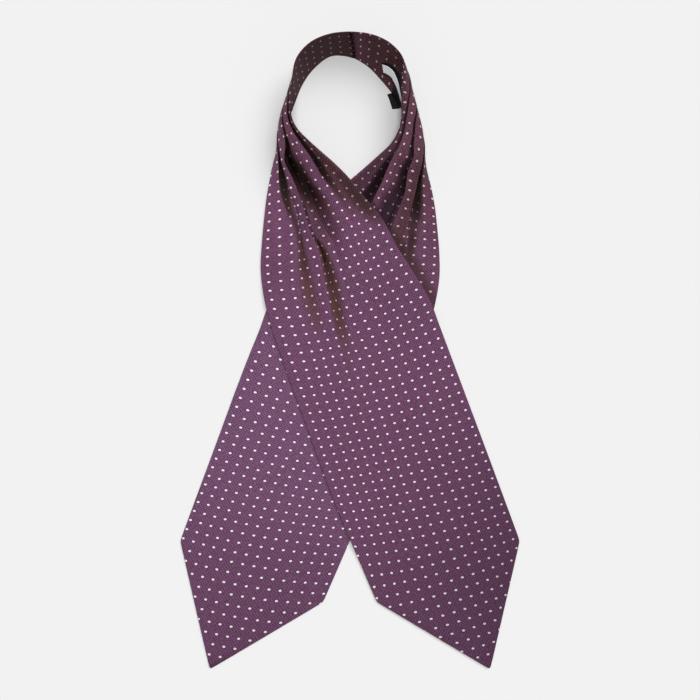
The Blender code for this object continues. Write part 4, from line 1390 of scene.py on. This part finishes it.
def ribbon_grids(half, rows):
    """Inner and outer grids of a ribbon on the neckband's inside, its map and its shade.

    Its width is measured at right angles to its middle line.
    """
    rows = table(rows, RIBBON_COLUMNS)
    u = np.linspace(0.0, 1.0, RIBBON_GRID[0])
    steps = np.linspace(0.0, 1.0, len(rows["along"]))
    read = {name: np.interp(u, steps, rows[name]) for name in RIBBON_COLUMNS}
    for name in ("along", "share", "off"):
        padded = np.pad(read[name], 2, mode="reflect", reflect_type="odd")
        read[name] = np.convolve(padded, np.ones(5) / 5, mode="valid")

    height = np.linalg.norm(half.spine(read["along"])[1], axis=1)
    run = np.gradient(read["along"])
    rise = np.gradient(read["share"] * height)
    length = np.hypot(run, rise)
    across = np.linspace(-0.5, 0.5, RIBBON_GRID[1])
    grids = [on_wall(half, read["along"] - shift * rise / length,
                     read["share"] + shift * run / length / height)
             for shift in across[:, None] * read["wide"]]
    points, normals = (np.stack(grid, axis=1) for grid in zip(*grids))
    middle_steps = np.diff(points[:, len(across) // 2], axis=0)
    travelled = np.append(0.0, np.cumsum(np.linalg.norm(middle_steps, axis=1)))
    from_side = (0.5 - np.abs(across))[None] * read["wide"][:, None]
    from_edge = np.minimum(from_side, np.minimum(travelled, travelled[-1] - travelled)[:, None])
    middle = points - (read["off"][:, None, None] + RIBBON_THICKNESS / 2) * normals
    middle[..., 2] = np.maximum(middle[..., 2], RIBBON_THICKNESS / 2 + 0.05)
    half_thick = RIBBON_THICKNESS / 2 * turned_edge(from_edge, 0.35) * normals
    cloth = np.stack([across[None] * read["wide"][:, None],
                      np.broadcast_to(travelled[:, None], from_side.shape)], axis=-1)
    selvedge = np.exp(-(from_side / 0.5) ** 2)
    return middle + half_thick, middle - half_thick, cloth, {"selvedge": selvedge}


def sew_ribbon(name, half, rows, finish):
    """Make one ribbon inside a half's neckband."""
    inner, outer, cloth, shade = ribbon_grids(half, rows)
    return closed_sheet(name, inner, outer, (cloth, cloth), (shade, shade), half.mirror, finish)


def sew_tacks(half, layers, finish):
    """Make the stitches that hold the pleats: spindles across the folds, with a radius of
    TACK_WIDTH / 2 * sqrt(1 - t^4), where t runs from -1 to 1 along each."""
    t = np.linspace(-1.0, 1.0, 13)[:, None, None]
    angle = np.linspace(0.0, 2 * np.pi, 8, endpoint=False)[None, :, None]
    radius = TACK_WIDTH / 2 * np.sqrt(np.maximum(1 - t ** 4, 0.002))
    points, faces = [], []
    for along, fold in half.tacks:
        row = np.argmin(np.abs(layers["along"] - along))
        column = np.argmin(np.abs(layers["place"][row] - FOLD_LINES.index(fold)))
        line = layers["face_outer"][row]
        across = unit(line[column + 2] - line[column - 3])
        up = unit(layers["normal"][row, 0] - across * np.dot(across, layers["normal"][row, 0]))
        side = np.cross(across, up)
        ring = np.cos(angle) * up + np.sin(angle) * side
        middle = line[column] + across * (t * TACK_LENGTH / 2 - 0.4) - up * (0.5 * t ** 2 - 0.1)
        start = len(points) * t.size * angle.size
        index = start + np.arange(t.size * angle.size).reshape(t.size, angle.size)
        after = np.roll(index, -1, axis=1)
        quads = np.stack([index[:-1], after[:-1], after[1:], index[1:]], -1).reshape(-1, 4)
        faces += quads.tolist() + [index[0, ::-1].tolist(), index[-1].tolist()]
        points.append((middle + radius * ring).reshape(-1, 3))
    if half.mirror < 0:
        faces = [face[::-1] for face in faces]
    points = placed(np.concatenate(points), half.mirror)
    piece = add_object(half.name + "_tacks", points, faces, finish)
    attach(piece, "root")
    return piece


def sew_half(half, sizes, colours, support=None):
    """Make the back panel and the face panel of one half, and sew on what it carries."""
    layers = half_layers(half, sizes, support)
    back_map, back_shade = layers["back_map"], layers["back_shade"]
    back = closed_sheet(half.name + "_back_silk", layers["back_outer"], layers["back_inner"],
                        (back_map, back_map), (back_shade, back_shade), half.mirror,
                        silk(half.name + "_back_finish", sizes, colours))
    face = closed_sheet(half.name + "_face_silk", layers["face_inner"], layers["face_outer"],
                        (back_map, layers["face_map"]),
                        (layers["face_shade"], layers["face_shade"]), half.mirror,
                        silk(half.name + "_face_finish", sizes, colours))
    stands_for(back, half.name + "_back_panel")
    stands_for(face, half.name + "_face_panel")
    thread = plain(half.name + "_thread", colours.thread, 2500.0, 0.5, 0.55, 0.5)
    tacks = sew_tacks(half, layers, thread)


class CRAVAT_OT_lower_half(bpy.types.Operator):
    """Make the half that goes round the right and lies underneath, with its labels"""

    bl_idname = "cravat.lower_half"
    bl_label = "Lower half"

    def execute(self, context):
        sizes, colours = context.scene.cravat_sizes, context.scene.cravat_colours
        half = Half("lower")
        black = ribbon("black_ribbon", colours.black_ribbon, 0.9, 0.62)
        white = ribbon("white_ribbon", colours.white_ribbon, 0.8, 0.5)
        for name, rows, finish, node, slot in (
                ("woven_ribbon", WOVEN_RIBBON, black, "woven_label", "black_ribbon"),
                ("woven_ribbon_end", TONGUE_RIBBON, black, "woven_label", "black_ribbon"),
                ("care_ribbon", CARE_RIBBON, white, "care_label", "white_ribbon")):
            piece = sew_ribbon(name, half, rows, finish)
            stands_for(piece, node)
        sew_half(half, sizes, colours)
        return {"FINISHED"}


class CRAVAT_OT_upper_half(bpy.types.Operator):
    """Make the half that goes round the left of the loop and lies over the lower one"""

    bl_idname = "cravat.upper_half"
    bl_label = "Upper half"

    def execute(self, context):
        scene = context.scene
        lower = Half("lower")
        under = half_layers(lower, scene.cravat_sizes)
        top = under["face_outer"][under["along"] > TACK_ALONG].reshape(-1, 3)
        support = HeightMap(top * (lower.mirror, 1.0, 1.0))
        sew_half(Half("upper"), scene.cravat_sizes, scene.cravat_colours, support)
        return {"FINISHED"}


class CRAVAT_OT_stage(bpy.types.Operator):
    """Lay the floor, light it softly and place the camera"""

    bl_idname = "cravat.stage"
    bl_label = "Floor, light and camera"

    def execute(self, context):
        scene = context.scene
        corners = np.array([(-1, -1, 0), (1, -1, 0), (1, 1, 0), (-1, 1, 0)]) * FLOOR_REACH
        finish = plain("floor", scene.cravat_colours.floor, 3.0, 0.01, 0.9, 0.1)
        floor = add_object("floor", corners - (0.0, 0.0, FLOOR_DROP), [(0, 1, 2, 3)], finish)

        world = bpy.data.worlds.new("soft_room")
        world.use_nodes = True
        background = world.node_tree.nodes["Background"].inputs
        background["Color"].default_value = (1.0, 1.0, 1.0, 1.0)
        background["Strength"].default_value = ROOM_LIGHT
        scene.world = world
        for name, strength, width, tilt, turn in LIGHTS:
            light = bpy.data.lights.new(name, "SUN")
            light.energy = strength
            light.angle = math.radians(width)
            sun = bpy.data.objects.new(name, light)
            sun.rotation_euler = (math.radians(tilt), math.radians(turn), 0.0)
            scene.collection.objects.link(sun)

        lens = bpy.data.cameras.new("overhead")
        lens.sensor_width = SENSOR
        lens.lens = LENS
        lens.clip_start = 0.01
        camera = bpy.data.objects.new("overhead", lens)
        camera.location = (0.0, TABLE_CENTRE_Y * MM, CAMERA_HEIGHT)
        scene.collection.objects.link(camera)
        scene.camera = camera
        scene.view_settings.view_transform = "Standard"
        return {"FINISHED"}


class CRAVAT_PT_pieces(bpy.types.Panel):
    """The cravat's pieces, sizes and colours"""

    bl_label = "Cravat"
    bl_idname = "CRAVAT_PT_pieces"
    bl_space_type = "VIEW_3D"
    bl_region_type = "UI"
    bl_category = "Cravat"

    def draw(self, context):
        layout = self.layout
        for group in (context.scene.cravat_sizes, context.scene.cravat_colours):
            for name in group.__annotations__:
                layout.prop(group, name)
        for operator in PIECES:
            layout.operator(operator.bl_idname)


PIECES = (CRAVAT_OT_lower_half, CRAVAT_OT_upper_half, CRAVAT_OT_stage)
CLASSES = (CravatSizes, CravatColours) + PIECES + (CRAVAT_PT_pieces,)


def register():
    """Add the cravat's settings, operators and panel."""
    for entry in CLASSES:
        bpy.utils.register_class(entry)
    bpy.types.Scene.cravat_sizes = bpy.props.PointerProperty(type=CravatSizes)
    bpy.types.Scene.cravat_colours = bpy.props.PointerProperty(type=CravatColours)


def unregister():
    """Take them away again."""
    del bpy.types.Scene.cravat_colours
    del bpy.types.Scene.cravat_sizes
    for entry in reversed(CLASSES):
        bpy.utils.unregister_class(entry)


def main():
    """Make every piece and the stage."""
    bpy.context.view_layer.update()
    register()
    bpy.ops.cravat.lower_half()
    bpy.ops.cravat.upper_half()
    bpy.ops.cravat.stage()


if __name__ == "__main__":
    main()
